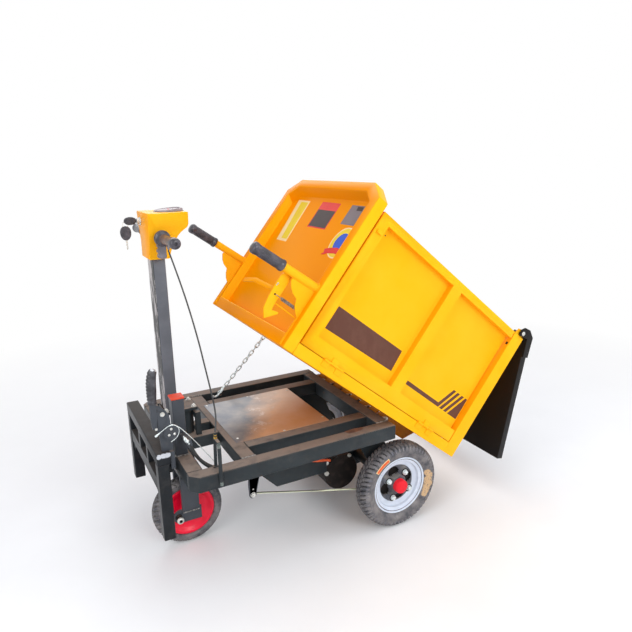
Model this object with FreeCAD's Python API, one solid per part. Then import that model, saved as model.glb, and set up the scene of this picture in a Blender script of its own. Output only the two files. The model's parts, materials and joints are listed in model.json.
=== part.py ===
import FreeCAD
import Part

import math
import os

# Electric dumper tricycle for site work, walked behind.  Millimetres.
# +X runs from the operator's bars to the tailgate, +Y is the vehicle's left, +Z is up, the floor is z = 0.
# Inside this file x = 0 is the chassis edge on the operator's side; everything is centred on the
# footprint at the end.  The bed is drawn level on the chassis and then tipped about its hinge pin.

Vector = FreeCAD.Vector

# ---- driving dimensions -------------------------------------------------------------------------

# chassis
chassis_length = 753.0
chassis_width = 686.0
rail_top = 433.0            # height of the load-bearing top faces
rail_width = 50.0
rail_height = 54.0
rail_corner = 4.0           # rounding of the tube edges
front_bevel = 26.0          # cut across the two front corners, in plan
battery_bay_start = 181.0   # front face of the battery cross member
inner_rail_offset = 202.0   # centre plane to the middle of an inner rail
inner_rail_height = 50.0
centre_beam_offset = 50.0
centre_beam_width = 40.0
centre_beam_height = 44.0

# bumper that keeps the operator's feet off the front wheel
bumper_gap = 29.0           # clear space between the bumper and the chassis
bumper_tube = 44.0
bumper_half_width = 244.0
bumper_middle = 12.0        # its middle lies to the vehicle's left
bumper_top = 481.0
bumper_leg = 38.0
bumper_leg_bottom = 176.0
bumper_beam_low = 338.0
bumper_beam_high = 384.0
bumper_strut_width = 26.0
bumper_strut_offset = 62.0
bumper_link_offset = 96.0
bumper_gusset = 62.0
bumper_gusset_drop = 45.0   # below the lower beam's underside

# latch post on the front cross member
post_side = 40.0
post_offset = 157.0         # to the vehicle's right
post_top = 632.0

# battery box and its cover
battery_side_gap = 3.0      # tray to the inner rails
battery_bottom = 216.0
battery_rear = 560.0
battery_slope_run = 160.0
cover_lap = 7.0             # cover over the inner rails
cover_front_lap = 26.0      # and over the battery cross member
cover_end = 568.0
cover_thickness = 1.2       # its top is level with the side rails

# rear axle and motor
rear_axle_setback = 38.0    # axle behind the chassis's end
rear_tyre_radius = 168.0
rear_tyre_width = 70.0
rear_wheel_offset = 298.0   # centre plane to the wheel's middle plane
rear_rim_radius = 113.0
rear_rim_width = 52.0
rear_well_radius = 97.0
rim_wall = 4.0
hub_disc_radius = 70.0
hub_disc_inset = 16.0       # from the rim's outer edge plane to the disc
hub_disc_thickness = 7.0
hub_radius = 30.0
hub_cap_radius = 33.0
hub_cap_length = 25.0
spindle_radius = 12.5
axle_tube_radius = 24.0
axle_tube_half_length = 262.0
gear_case_radius = 68.0
gear_case_half_width = 48.0
gear_case_offset = 20.0
axle_bracket_offset = 236.0
axle_bracket_thickness = 8.0
motor_lead = 148.0          # motor's axis ahead of the axle
motor_rise = 10.0           # and above it
motor_radius = 72.0
motor_near_face = -142.0
motor_length = 190.0

# front wheel and fork
front_wheel_x = 63.5
front_tyre_radius = 127.6
front_tyre_width = 56.0
front_rim_radius = 96.0
front_rim_width = 46.0
front_hub_radius = 24.0
front_axle_radius = 10.0
axle_seat_depth = 4.0       # blind seat in each fork plate
fork_plate_inner = 42.0     # centre plane to the inner face of a fork plate
fork_plate_thickness = 6.0
fork_plate_height = 52.0
fork_plate_back = 63.0      # plate length from the axle towards the operator
fork_plate_front = 40.0
fork_leg_width = 62.0
fork_leg_depth = 18.0
cross_bolt_x = 19.0
cross_bolt_radius = 6.0
cross_bolt_reach = 78.0

# steering
steering_x = 90.0
stem_radius = 15.0
head_tube_radius = 21.0
head_tube_top = 520.0
crown_tyre_gap = 26.8       # above the front tyre
crown_thickness = 14.0
crown_gap = 4.0             # between the crown plates and the head tube
top_plate_thickness = 10.0
column_x = 31.0
column_depth = 40.0
column_width = 80.0
column_top = 1110.0
head_front = 125.0          # edge of the housing's top away from the operator
head_half_width = 82.0
head_foot_half_width = 52.0
head_bottom = 1063.5
head_top = 1210.0
handlebar_x = 31.0
handlebar_z = 1136.0
handlebar_half_length = 262.0
handlebar_radius = 11.0
grip_radius = 14.5
grip_length = 120.0
throttle_length = 165.0
throttle_flange_radius = 30.0
throttle_flange_length = 14.0
gauge_x = 84.0
gauge_radius = 47.0
gauge_rise = 13.0
key_z = 1180.0
key_y = 35.0

# tipping bed, drawn level: x from the hinge pin, z from the underside of its floor
bed_tilt = 38.8             # rest pose, held by the chain
bed_clearance = 5.0         # level floor above the rails
hinge_drop = 15.0           # floor underside to the pin's axis
hinge_setback = 10.5        # pin's axis behind the chassis
bed_front = 584.0
bed_rear = 322.5
bed_width = 685.0
floor_thickness = 40.0
floor_sheet = 4.0
floor_frame = 40.0
wall_thickness = 40.0
panel_sheet = 3.0
side_height = 545.0
front_edge_rise = 24.0      # front wall's corners above the side gates
front_top_rise = 78.0       # and its top
front_chamfer = 75.0
front_depth = 43.0
front_recess = 36.0
front_border = 40.0
front_lip_slope = 21.0
gate_top_border = 29.0
gate_bottom_border = 48.5
gate_front_post = 42.5
gate_rib_start = 128.5      # ahead of the hinge pin
gate_rib_width = 50.6
gate_depth = 27.5           # a gate's whole thickness; its pockets leave one sheet
rear_post_width = 56.5
gate_gap = 5.0              # to the front wall and the rear posts
gate_foot_gap = 2.5         # above the floor's edge, beside the hinges
gate_knuckle_radius = 4.0
gate_pin_radius = 2.0
gate_knuckle_length = 30.0
gate_knuckle_gap = 0.6      # barrels to each other and to the bed's side
gate_hinge_inset = 150.0    # gate's end to the middle of a hinge
gate_leaf_height = 22.0
gate_leaf_thickness = 3.0
latch_plate = 8.0           # how far the gate latches stand out
hinge_pin_radius = 5.0
hinge_sleeve_radius = 8.0
running_clearance = 0.1
hinge_arm_offset = 235.0
hinge_arm_width = 34.0
hinge_arm_depth = 45.0
hinge_arm_length = 172.0

# push handles and latch on the bed
handle_inset = 24.5         # bed's side to the handle's axis
handle_radius = 14.0
handle_length = 258.0
handle_height = 216.0
handle_droop = 3.4
handle_grip_radius = 18.0
handle_grip_length = 120.0
handle_knob_radius = 20.5   # rounded end of the grip
handle_knob_length = 20.0
gusset_thickness = 5.0
lever_thickness = 6.0
lever_seat = 1.0            # strap's weld into the inner side of the right handle
lever_bar_width = 15.0
lever_bar_thickness = 5.0

# tailgate, hung between the rear posts
tailgate_open = 26.2
tailgate_pivot_inset = 24.0
tailgate_pivot_rise = 14.0  # above the side gates
tailgate_inner = 29.0       # pivot axis to the gate's inner face
tailgate_depth = 27.0
tailgate_top = 12.0
tailgate_foot = 28.0        # lower edge above the floor's underside
tailgate_sheet = 3.0
tailgate_pin_radius = 7.0
tailgate_arm_thickness = 6.0
tailgate_side_gap = 3.0

# hand brake, relay lever, cables, chain
brake_lever_y = -222.0
brake_lever_setback = 3.0   # its drawing's start behind the bumper's face
brake_grip_radius = 15.0
relay_x = 205.0
relay_y = -318.0
relay_drop = 76.0           # rail underside to the rod's eye
brake_arm_y = -246.0        # arm on the axle that the rod pulls
brake_arm_length = 44.0
rod_radius = 3.0
cable_radius = 2.5
cable_stop_x = 91.5
cable_stop_top = 538.0
cable_sheath_y = -349.5
cable_sheath_radius = 6.0
chain_radius = 5.0
chain_anchor_x = 299.0
chain_bed_reach = 365.0
chain_bed_y = 216.0

# Route of the brake cable from the lever on the bars down to its stop on the right rail.
brake_cable_points = [
    (46.0, -112.0, 1098.0),
    (55.0, -134.0, 1050.0),
    (62.0, -160.0, 1004.0),
    (69.5, -181.0, 957.0),
    (76.0, -203.0, 908.0),
    (82.0, -222.0, 859.0),
    (87.0, -241.0, 810.0),
    (91.5, -256.0, 760.0),
    (95.5, -270.0, 711.0),
    (98.0, -282.0, 664.0),
    (98.5, -293.0, 622.0),
    (95.0, -307.0, 588.0),
    (92.0, -318.0, 560.0),
]

# ---- derived places -------------------------------------------------------------------------------

half_chassis = chassis_width / 2
rear_axle_x = chassis_length + rear_axle_setback
motor_x = rear_axle_x - motor_lead
motor_z = rear_tyre_radius + motor_rise
front_edge_height = side_height + front_edge_rise
front_height = side_height + front_top_rise
rail_inner = half_chassis - rail_width
inner_top = rail_top - cover_thickness
bay_half_width = inner_rail_offset - rail_width / 2
battery_half_width = bay_half_width - battery_side_gap
rail_bottom = rail_top - rail_height
rear_cross_start = chassis_length - rail_width
bay_end = battery_bay_start + rail_width
bumper_x = -bumper_gap - bumper_tube
hinge_x = chassis_length + hinge_setback
floor_z = rail_top + bed_clearance
hinge_z = floor_z - hinge_drop
half_bed = bed_width / 2
handle_offset = half_bed - handle_inset
lever_offset = handle_offset - handle_radius - lever_thickness / 2 + lever_seat
bed_front_x = hinge_x - bed_front
bed_rear_x = hinge_x + bed_rear
gate_front_x = bed_front_x + front_depth
rear_post_x = bed_rear_x - rear_post_width
wall_inner = half_bed - wall_thickness
gate_rear_x = rear_post_x - gate_gap
gate_start_x = gate_front_x + gate_gap
gate_low_z = floor_z + floor_thickness + gate_foot_gap
gate_hinge_y = half_bed + gate_knuckle_radius + gate_knuckle_gap
gate_hinge_z = gate_low_z - gate_foot_gap / 2
gate_hinge_places = (gate_start_x + gate_hinge_inset, gate_rear_x - gate_hinge_inset)
crown_bottom = 2 * front_tyre_radius + crown_tyre_gap
crown_top = crown_bottom + crown_thickness
top_plate_bottom = head_tube_top + crown_gap
top_plate_top = top_plate_bottom + top_plate_thickness
tailgate_pivot_x = bed_rear_x - tailgate_pivot_inset
tailgate_pivot_z = floor_z + side_height + tailgate_pivot_rise


# ---- shapes -------------------------------------------------------------------------------------

def block(x, y, z):
    # A box from three (low, high) pairs.
    return Part.makeBox(x[1] - x[0], y[1] - y[0], z[1] - z[0], Vector(x[0], y[0], z[0]))


def edges_along(shape, axis):
    # Straight edges that run along one axis: 0 for X, 1 for Y, 2 for Z.
    found = []
    for edge in shape.Edges:
        ends = edge.Vertexes
        if len(ends) != 2:
            continue
        step = ends[1].Point.sub(ends[0].Point)
        if abs(abs(step[axis]) - step.Length) < 1e-6:
            found.append(edge)
    return found


def tube(x, y, z, axis, corner=rail_corner):
    # A square tube, closed at both ends, with its long edges rounded.
    body = block(x, y, z)
    return body.makeFillet(corner, edges_along(body, axis))


def rod(radius, start, end):
    axis = Vector(*end).sub(Vector(*start))
    return Part.makeCylinder(radius, axis.Length, Vector(*start), axis)


def prism_y(points, y_low, y_high):
    # An outline of (x, z) points, extruded along Y.
    corners = [Vector(x, y_low, z) for x, z in points]
    face = Part.Face(Part.makePolygon(corners + corners[:1]))
    return face.extrude(Vector(0, y_high - y_low, 0))


def prism_x(points, x_low, x_high):
    # An outline of (y, z) points, extruded along X.
    corners = [Vector(x_low, y, z) for y, z in points]
    face = Part.Face(Part.makePolygon(corners + corners[:1]))
    return face.extrude(Vector(x_high - x_low, 0, 0))


def turned_y(points, centre_x, centre_y, centre_z):
    # A closed outline of (radius, distance along Y) points, turned about a line parallel to Y.
    corners = [Vector(centre_x, centre_y + along, centre_z + radius) for radius, along in points]
    face = Part.Face(Part.makePolygon(corners + corners[:1]))
    return face.revolve(Vector(centre_x, centre_y, centre_z), Vector(0, 1, 0), 360)


def joined(shapes):
    whole = shapes[0]
    for extra in shapes[1:]:
        whole = whole.fuse(extra)
    return whole.removeSplitter()


def mirrored(shape):
    # The same piece on the other side of the centre plane.
    return shape.mirror(Vector(0, 0, 0), Vector(0, 1, 0))


def pair(shape):
    # A left piece and its mirror image, as two solids of one sub-part.
    return Part.makeCompound([shape, mirrored(shape)])


def turned(shape, centre_x, centre_z, degrees):
    # A copy turned about a line parallel to Y; positive lifts the operator's side.
    copy = shape.copy()
    copy.rotate(Vector(centre_x, 0, centre_z), Vector(0, 1, 0), degrees)
    return copy


def tipped(shape):
    return turned(shape, hinge_x, hinge_z, bed_tilt)


def tipped_point(x, y, z):
    angle = math.radians(bed_tilt)
    dx = x - hinge_x
    dz = z - hinge_z
    return (
        hinge_x + dx * math.cos(angle) + dz * math.sin(angle),
        y,
        hinge_z - dx * math.sin(angle) + dz * math.cos(angle),
    )


# ---- chassis ------------------------------------------------------------------------------------

def side_rail():
    # The left rail, with its front corner cut across in plan.
    body = tube((0, chassis_length), (rail_inner, half_chassis), (rail_bottom, rail_top), 0)
    corner = Part.Face(Part.makePolygon([
        Vector(0, half_chassis - front_bevel, rail_bottom),
        Vector(0, half_chassis, rail_bottom),
        Vector(front_bevel, half_chassis, rail_bottom),
        Vector(0, half_chassis - front_bevel, rail_bottom),
    ])).extrude(Vector(0, 0, rail_height))
    return body.cut(corner)


def chain_anchor():
    # Eye plate welded inside the left rail; the chain's hook goes through it.
    plate = block(
        (chain_anchor_x - 16, chain_anchor_x + 16),
        (rail_inner - 14, rail_inner + 1),
        (rail_top - 22, rail_top - 14),
    )
    hole = Part.makeCylinder(5, 20, Vector(chain_anchor_x, rail_inner - 7, rail_top - 28))
    return plate.cut(hole)


def cross_member(x_low, y_half):
    return tube((x_low, x_low + rail_width), (-y_half, y_half), (rail_bottom, rail_top), 1)


def battery_cross_member():
    # Its ends are notched over the two side rails.
    reach = rail_inner
    return tube(
        (battery_bay_start, bay_end), (-reach, reach), (rail_top - inner_rail_height, inner_top), 1
    )


def inner_rail():
    middle = inner_rail_offset
    return tube(
        (bay_end, rear_cross_start),
        (middle - rail_width / 2, middle + rail_width / 2),
        (rail_top - inner_rail_height, inner_top),
        0,
    )


def centre_beams():
    half = centre_beam_width / 2
    beam = tube(
        (rail_width, battery_bay_start),
        (centre_beam_offset - half, centre_beam_offset + half),
        (rail_top - centre_beam_height, rail_top),
        0,
    )
    return pair(beam)


def steering_head():
    # Head tube between the centre beams, with a web each side and two uprights that brace it.
    inside = centre_beam_offset - centre_beam_width / 2
    head_bottom_z = rail_top - centre_beam_height
    column = rod(head_tube_radius, (steering_x, 0, head_bottom_z), (steering_x, 0, head_tube_top))
    web = block((steering_x - 24, steering_x + 24), (-inside, inside), (head_bottom_z, rail_top - 4))
    braces = []
    for side in (-1, 1):
        low = min(side * 40, side * 56)
        upright = block((steering_x + 16, steering_x + 34), (low, low + 16), (rail_top, head_tube_top - 2))
        inner = min(side * 10, side * 42)
        arm = block((steering_x + 16, steering_x + 28), (inner, inner + 32), (head_tube_top - 26, head_tube_top - 6))
        braces += [upright, arm]
    solid = joined([column, web] + braces)
    bore = rod(
        stem_radius + running_clearance,
        (steering_x, 0, head_bottom_z - 1),
        (steering_x, 0, head_tube_top + 1),
    )
    return solid.cut(bore)


def bumper_parts():
    x = (bumper_x, bumper_x + bumper_tube)
    right = bumper_middle - bumper_half_width
    left = bumper_middle + bumper_half_width
    top_low = bumper_top - bumper_leg
    beam = tube(x, (right, left), (top_low, bumper_top), 1)
    legs = []
    for low in (right, left - bumper_leg):
        legs.append(tube(
            (bumper_x, bumper_x + bumper_leg), (low, low + bumper_leg), (bumper_leg_bottom, top_low), 2
        ))
    low_x = (bumper_x + 2, bumper_x + 32)
    pieces = [block(low_x, (right + bumper_leg, left - bumper_leg), (bumper_beam_low, bumper_beam_high))]
    for offset in (-bumper_strut_offset, bumper_strut_offset):
        half = bumper_strut_width / 2
        pieces.append(block(low_x, (offset - half, offset + half), (bumper_beam_high, top_low)))
    for side, edge in ((-1, right + bumper_leg), (1, left - bumper_leg)):
        pieces.append(prism_x(
            [
                (edge, bumper_beam_low + 1),
                (edge - side * bumper_gusset, bumper_beam_low + 1),
                (edge - side * 20, bumper_beam_low - bumper_gusset_drop / 2),
                (edge, bumper_beam_low - bumper_gusset_drop),
            ],
            bumper_x + 6,
            bumper_x + 12,
        ))
        links = sorted((side * (bumper_link_offset - 18), side * (bumper_link_offset + 18)))
        pieces.append(block(
            (bumper_x + 10, 0), links, (bumper_beam_high - 36, bumper_beam_high)
        ))
    return beam, Part.makeCompound(legs), joined(pieces)


def latch_post():
    low = -post_offset - post_side / 2
    return tube((0, post_side), (low, low + post_side), (rail_top, post_top), 2)


def battery_box():
    # Sheet-steel tray under the cover, closed, with its front wall sloped back.
    top = inner_top
    slope_top = bay_end
    outline = [
        (slope_top, top),
        (slope_top, rail_top - inner_rail_height),
        (battery_bay_start + 12, rail_top - inner_rail_height),
        (battery_bay_start + 12 + battery_slope_run, battery_bottom),
        (battery_rear, battery_bottom),
        (battery_rear, top),
    ]
    return prism_y(outline, -battery_half_width, battery_half_width)


def battery_cover():
    plate = block(
        (bay_end - cover_front_lap, cover_end),
        (-bay_half_width - cover_lap, bay_half_width + cover_lap),
        (inner_top, rail_top),
    )
    return plate


def axle_bracket():
    # Plate from the underside of the rear cross member down to the axle tube.
    low = rail_bottom
    outline = [
        (chassis_length - 120, low),
        (chassis_length, low),
        (rear_axle_x + 34, rear_tyre_radius + 30),
        (rear_axle_x + 34, rear_tyre_radius - 26),
        (rear_axle_x - 34, rear_tyre_radius - 26),
        (rear_axle_x - 60, rear_tyre_radius + 40),
    ]
    half = axle_bracket_thickness / 2
    plate = prism_y(outline, axle_bracket_offset - half, axle_bracket_offset + half)
    hole = rod(
        axle_tube_radius,
        (rear_axle_x, axle_bracket_offset - 20, rear_tyre_radius),
        (rear_axle_x, axle_bracket_offset + 20, rear_tyre_radius),
    )
    return plate.cut(hole)


def rear_axle():
    # Axle tube, gear case and the two spindles that carry the wheels.
    z = rear_tyre_radius
    half = axle_tube_half_length
    housing = rod(axle_tube_radius, (rear_axle_x, -half, z), (rear_axle_x, half, z))
    case = turned_y(
        [
            (0, -gear_case_half_width),
            (gear_case_radius * 0.7, -gear_case_half_width),
            (gear_case_radius, -gear_case_half_width * 0.4),
            (gear_case_radius, gear_case_half_width * 0.4),
            (gear_case_radius * 0.7, gear_case_half_width),
            (0, gear_case_half_width),
        ],
        rear_axle_x, gear_case_offset, z,
    )
    spindle_end = rear_wheel_offset + 12
    spindle = rod(spindle_radius, (rear_axle_x, -spindle_end, z), (rear_axle_x, spindle_end, z))
    return joined([housing, case, spindle])


def motor():
    # Motor can beside the axle; a reduction case ties it to the gear case.
    can = rod(
        motor_radius,
        (motor_x, motor_near_face, motor_z),
        (motor_x, motor_near_face + motor_length, motor_z),
    )
    rim_edges = [edge for edge in can.Edges if edge.Closed]
    can = can.makeFillet(6, rim_edges)
    reduction = block(
        (motor_x, rear_axle_x - gear_case_radius * 0.6),
        (gear_case_offset - 22, gear_case_offset + 22),
        (motor_z - 40, motor_z + 30),
    )
    return joined([can, reduction]).cut(rear_axle())


def hinge_rod():
    # Pin that the bed turns on, held behind the chassis by three lugs.
    reach = hinge_arm_offset + hinge_arm_width / 2 + 12
    pin = rod(hinge_pin_radius, (hinge_x, -reach, hinge_z), (hinge_x, reach, hinge_z))
    lugs = []
    for middle in (-reach + 6, -140, 0, 140, reach - 6):
        lugs.append(prism_y(
            [
                (chassis_length, hinge_z - 34),
                (chassis_length, hinge_z + 8),
                (hinge_x + 5, hinge_z + 8),
                (hinge_x + 8, hinge_z),
                (hinge_x + 5, hinge_z - 8),
            ],
            middle - 6, middle + 6,
        ))
    return joined([pin] + lugs)


def parking_brake_bracket():
    # Plate bolted behind the bumper: its cheek carries the ratchet and the cable pulley.
    x_low = bumper_x + bumper_tube
    foot = block((x_low, x_low + 14), (brake_lever_y - 4, brake_lever_y + 44), (bumper_top - 60, bumper_top))
    cheek = prism_y(
        [
            (x_low - 22, bumper_top),
            (x_low - 26, bumper_top + 62),
            (x_low - 6, bumper_top + 96),
            (x_low + 8, bumper_top + 96),
            (x_low + 14, bumper_top + 70),
            (x_low + 14, bumper_top - 6),
            (x_low, bumper_top),
        ],
        brake_lever_y + 9, brake_lever_y + 15,
    )
    return joined([foot, cheek])


def parking_brake_lever():
    # Flat shaft from the ratchet up to a bowed hand grip, with the pulley that the brake cable runs over.
    y = brake_lever_y
    start = bumper_x + brake_lever_setback
    base = Vector(start - 6, y, bumper_top + 91)
    grip_low = Vector(start, y, bumper_top + 175)
    grip_bow = Vector(start + 1, y, bumper_top + 226)
    grip_high = Vector(start + 9.5, y, bumper_top + 276)
    shaft = rod(7, tuple(base), tuple(grip_low))
    lower = rod(brake_grip_radius, tuple(grip_low), tuple(grip_bow))
    upper = rod(brake_grip_radius, tuple(grip_bow), tuple(grip_high))
    knuckle = Part.makeSphere(brake_grip_radius, grip_bow)
    plate = prism_y(
        [
            (start + 7, bumper_top + 167),
            (start + 37, bumper_top + 142),
            (start + 50, bumper_top + 96),
            (start + 50, bumper_top + 64),
            (start + 20, bumper_top + 59),
            (start - 12, bumper_top + 86),
            (start - 8, bumper_top + 140),
        ],
        y - 3, y + 3,
    )
    pulley = rod(24, (start + 50, y - 6, bumper_top + 64), (start + 50, y + 9, bumper_top + 64))
    return joined([shaft, lower, knuckle, upper, plate, pulley])


def relay_lever():
    # Bell-crank under the right rail and the rod to the brake arm that hangs below the axle.
    drop = rail_bottom - relay_drop
    lever = prism_y(
        [
            (relay_x - 12, rail_bottom),
            (relay_x + 26, rail_bottom),
            (relay_x + 8, drop - 2),
            (relay_x - 11, drop - 2),
        ],
        relay_y - 3, relay_y + 3,
    )
    eye = (relay_x - 1, drop + 6)
    pin = rod(8, (eye[0], relay_y - 8, eye[1]), (eye[0], relay_y + 14, eye[1]))
    low = rear_tyre_radius - brake_arm_length
    knee = (relay_x + 430, brake_arm_y - 6, low + 38)
    arm_end = (rear_axle_x - 28, brake_arm_y, low + 8)
    reach = rod(rod_radius, (eye[0], relay_y + 10, eye[1]), knee)
    pull = rod(rod_radius, knee, arm_end)
    joint = Part.makeSphere(rod_radius, Vector(*knee))
    arm = prism_y(
        [
            (rear_axle_x - 38, low),
            (rear_axle_x - 20, low),
            (rear_axle_x + 8, rear_tyre_radius - axle_tube_radius + 4),
            (rear_axle_x - 12, rear_tyre_radius - axle_tube_radius + 6),
        ],
        brake_arm_y - 3, brake_arm_y + 3,
    )
    return joined([lever, pin, reach, joint, pull, arm]).cut(rear_axle())


def cable_stop():
    # Narrow inverted V astride the right rail, with the cable's adjuster on top and a sheath outside.
    top = cable_stop_top
    x = cable_stop_x
    y_end = brake_cable_points[-1][1]
    apex = block((x - 5, x + 5), (cable_sheath_y, y_end + 8), (top - 6, top))
    inner_leg = prism_x(
        [
            (y_end + 4, top - 3),
            (y_end + 8, top - 3),
            (-rail_inner - 8, rail_top),
            (-rail_inner - 12, rail_top),
        ],
        x - 5, x + 5,
    )
    foot = block((x - 8, x + 8), (-rail_inner - 14, -rail_inner), (rail_top, rail_top + 4))
    ferrule = rod(4, (x, y_end, top - 4), (x, y_end, brake_cable_points[-1][2] - cable_radius / 2))
    sheath = rod(
        cable_sheath_radius,
        (x, cable_sheath_y, rail_bottom + 26),
        (x, cable_sheath_y, top - 18),
    )
    wire = rod(3, (x, cable_sheath_y, top - 19), (x, cable_sheath_y, top - 3))
    return joined([apex, inner_leg, foot, ferrule, sheath, wire])


# ---- steering -----------------------------------------------------------------------------------

def steering_stem():
    # Shaft through the head tube, fork crown below it and the column's foot plate above it.
    shaft = rod(stem_radius, (steering_x, 0, crown_bottom), (steering_x, 0, top_plate_top))
    crown_half = fork_plate_inner + fork_plate_thickness + 16
    crown = block(
        (front_wheel_x - fork_leg_width / 2, steering_x + 26),
        (-crown_half, crown_half),
        (crown_bottom, crown_top),
    )
    foot = block(
        (column_x - column_depth / 2 - 6, steering_x + 28),
        (-column_width / 2 - 4, column_width / 2 + 4),
        (top_plate_bottom, top_plate_top),
    )
    return joined([shaft, crown, foot])


def fork_leg():
    # Left leg: a flat tube from the crown to the plate that holds the axle.
    outer = fork_plate_inner + fork_plate_thickness
    plate_top = front_tyre_radius + fork_plate_height / 2
    leg = tube(
        (front_wheel_x - fork_leg_width / 2, front_wheel_x + fork_leg_width / 2),
        (fork_plate_inner, fork_plate_inner + fork_leg_depth),
        (plate_top - 6, crown_bottom),
        2, 3,
    )
    bar = block(
        (front_wheel_x - fork_plate_back + fork_plate_height / 2, front_wheel_x + fork_plate_front),
        (fork_plate_inner, outer),
        (front_tyre_radius - fork_plate_height / 2, plate_top),
    )
    nose_x = front_wheel_x - fork_plate_back + fork_plate_height / 2
    nose = rod(
        fork_plate_height / 2,
        (nose_x, fork_plate_inner, front_tyre_radius),
        (nose_x, outer, front_tyre_radius),
    )
    plate = joined([bar, nose, leg])
    for x, radius, reach in (
        (front_wheel_x, front_axle_radius, axle_seat_depth), (cross_bolt_x, cross_bolt_radius, 200)
    ):
        end = fork_plate_inner + reach
        plate = plate.cut(rod(radius, (x, 0, front_tyre_radius), (x, end, front_tyre_radius)))
    return plate


def front_axle():
    # The wheel's axle and the bolt at the end of the fork plates.
    reach = fork_plate_inner + axle_seat_depth
    z = front_tyre_radius
    axle = rod(front_axle_radius, (front_wheel_x, -reach, z), (front_wheel_x, reach, z))
    bolts = []
    for side in (-1, 1):
        start = (cross_bolt_x, side * (fork_plate_inner - 8), z)
        bolts.append(rod(cross_bolt_radius, start, (cross_bolt_x, side * cross_bolt_reach, z)))
    return Part.makeCompound([axle] + bolts)


def column_tube():
    return tube(
        (column_x - column_depth / 2, column_x + column_depth / 2),
        (-column_width / 2, column_width / 2),
        (top_plate_top, column_top),
        2,
    )


def control_head():
    # Housing that carries the gauge; it narrows towards the column, and its lower front is cut away.
    outline = [
        (-1, head_top),
        (head_front, head_top),
        (head_front + 1, head_top - 38),
        (head_front - 3, head_top - 48),
        (head_front - 14, head_top - 56),
        (head_front - 24, head_top - 63.5),
        (head_front - 32, head_top - 72.5),
        (head_front - 42, head_top - 88),
        (head_front - 51, head_top - 107),
        (head_front - 57, head_top - 125),
        (head_front - 61, head_bottom),
        (-1.5, head_bottom),
        (1, head_top - 94),
        (-1, head_top - 45),
    ]
    body = prism_y(outline, -head_half_width, head_half_width)
    sides = [
        (-head_half_width, head_top),
        (head_half_width, head_top),
        (head_foot_half_width, head_bottom),
        (-head_foot_half_width, head_bottom),
    ]
    body = body.common(prism_x(sides, -10, head_front + 10))
    across = [
        edge for edge in body.Edges
        if edge.BoundBox.YLength > 2 * head_foot_half_width - 1 and edge.BoundBox.ZLength < 1
    ]
    body = body.makeFillet(3, across)
    for piece in (column_tube(), handlebar(), gauge(), key_switch()):
        body = body.cut(piece)
    return body


def gauge():
    # Shallow round instrument on top of the housing.
    return turned_about_z(
        [(0, 0), (gauge_radius, 0), (gauge_radius, gauge_rise * 0.6), (gauge_radius - 6, gauge_rise), (0, gauge_rise)],
        (gauge_x, 0, head_top - 3),
    )


def turned_about_z(points, centre):
    corners = [Vector(centre[0] + radius, centre[1], centre[2] + rise) for radius, rise in points]
    face = Part.Face(Part.makePolygon(corners + corners[:1]))
    return face.revolve(Vector(*centre), Vector(0, 0, 1), 360)


def handlebar():
    return rod(
        handlebar_radius,
        (handlebar_x, -handlebar_half_length, handlebar_z),
        (handlebar_x, handlebar_half_length, handlebar_z),
    )


def bar_grip(side, length, flange):
    # Rubber sleeve on the end of the bar; the throttle side has a flange and a housing.
    inner = side * (handlebar_half_length + 8 - length)
    outer = side * (handlebar_half_length + 8)
    sleeve = rod(grip_radius, (handlebar_x, inner, handlebar_z), (handlebar_x, outer, handlebar_z))
    pieces = [sleeve]
    if flange:
        pieces.append(rod(
            throttle_flange_radius,
            (handlebar_x, inner, handlebar_z),
            (handlebar_x, inner + side * throttle_flange_length, handlebar_z),
        ))
    return joined(pieces).cut(handlebar())


def brake_lever():
    # Perch clamped beside the throttle with a short lever that hangs down.
    inner = -(handlebar_half_length + 8 - throttle_length) + 2
    clamp = rod(19, (handlebar_x, inner, handlebar_z), (handlebar_x, inner + 20, handlebar_z))
    arm = prism_y(
        [
            (handlebar_x - 10, handlebar_z - 12),
            (handlebar_x + 18, handlebar_z - 12),
            (handlebar_x + 22, handlebar_z - 40),
            (handlebar_x + 12, handlebar_z - 64),
            (handlebar_x - 8, handlebar_z - 66),
            (handlebar_x - 16, handlebar_z - 40),
        ],
        inner + 3, inner + 17,
    )
    return joined([clamp, arm]).cut(handlebar())


def key_switch():
    # Lock barrel on the operator's side of the housing, with the key in it.
    barrel = rod(11, (-14, key_y, key_z), (2, key_y, key_z))
    key = block((-42, -14), (key_y - 2, key_y + 2), (key_z - 9, key_z + 9))
    return joined([barrel, key])


# ---- wheels -------------------------------------------------------------------------------------

def front_tyre():
    half = front_tyre_width / 2
    rim_half = front_rim_width / 2
    return turned_y(
        [
            (front_rim_radius, -rim_half),
            (front_rim_radius + 14, -half),
            (front_tyre_radius - 12, -half),
            (front_tyre_radius, -half + 12),
            (front_tyre_radius, half - 12),
            (front_tyre_radius - 12, half),
            (front_rim_radius + 14, half),
            (front_rim_radius, rim_half),
        ],
        front_wheel_x, 0, front_tyre_radius,
    )


def front_rim():
    # Dished disc between a broad rim and a hub.
    half = front_rim_width / 2
    bore = front_axle_radius + running_clearance
    hub_half = fork_plate_inner - 4
    return turned_y(
        [
            (bore, -hub_half),
            (front_hub_radius, -hub_half),
            (front_hub_radius + 6, -12),
            (front_rim_radius - 26, -9),
            (front_rim_radius - 14, -half),
            (front_rim_radius, -half),
            (front_rim_radius, half),
            (front_rim_radius - 14, half),
            (front_rim_radius - 26, 9),
            (front_hub_radius + 6, 12),
            (front_hub_radius, hub_half),
            (bore, hub_half),
        ],
        front_wheel_x, 0, front_tyre_radius,
    )


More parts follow.
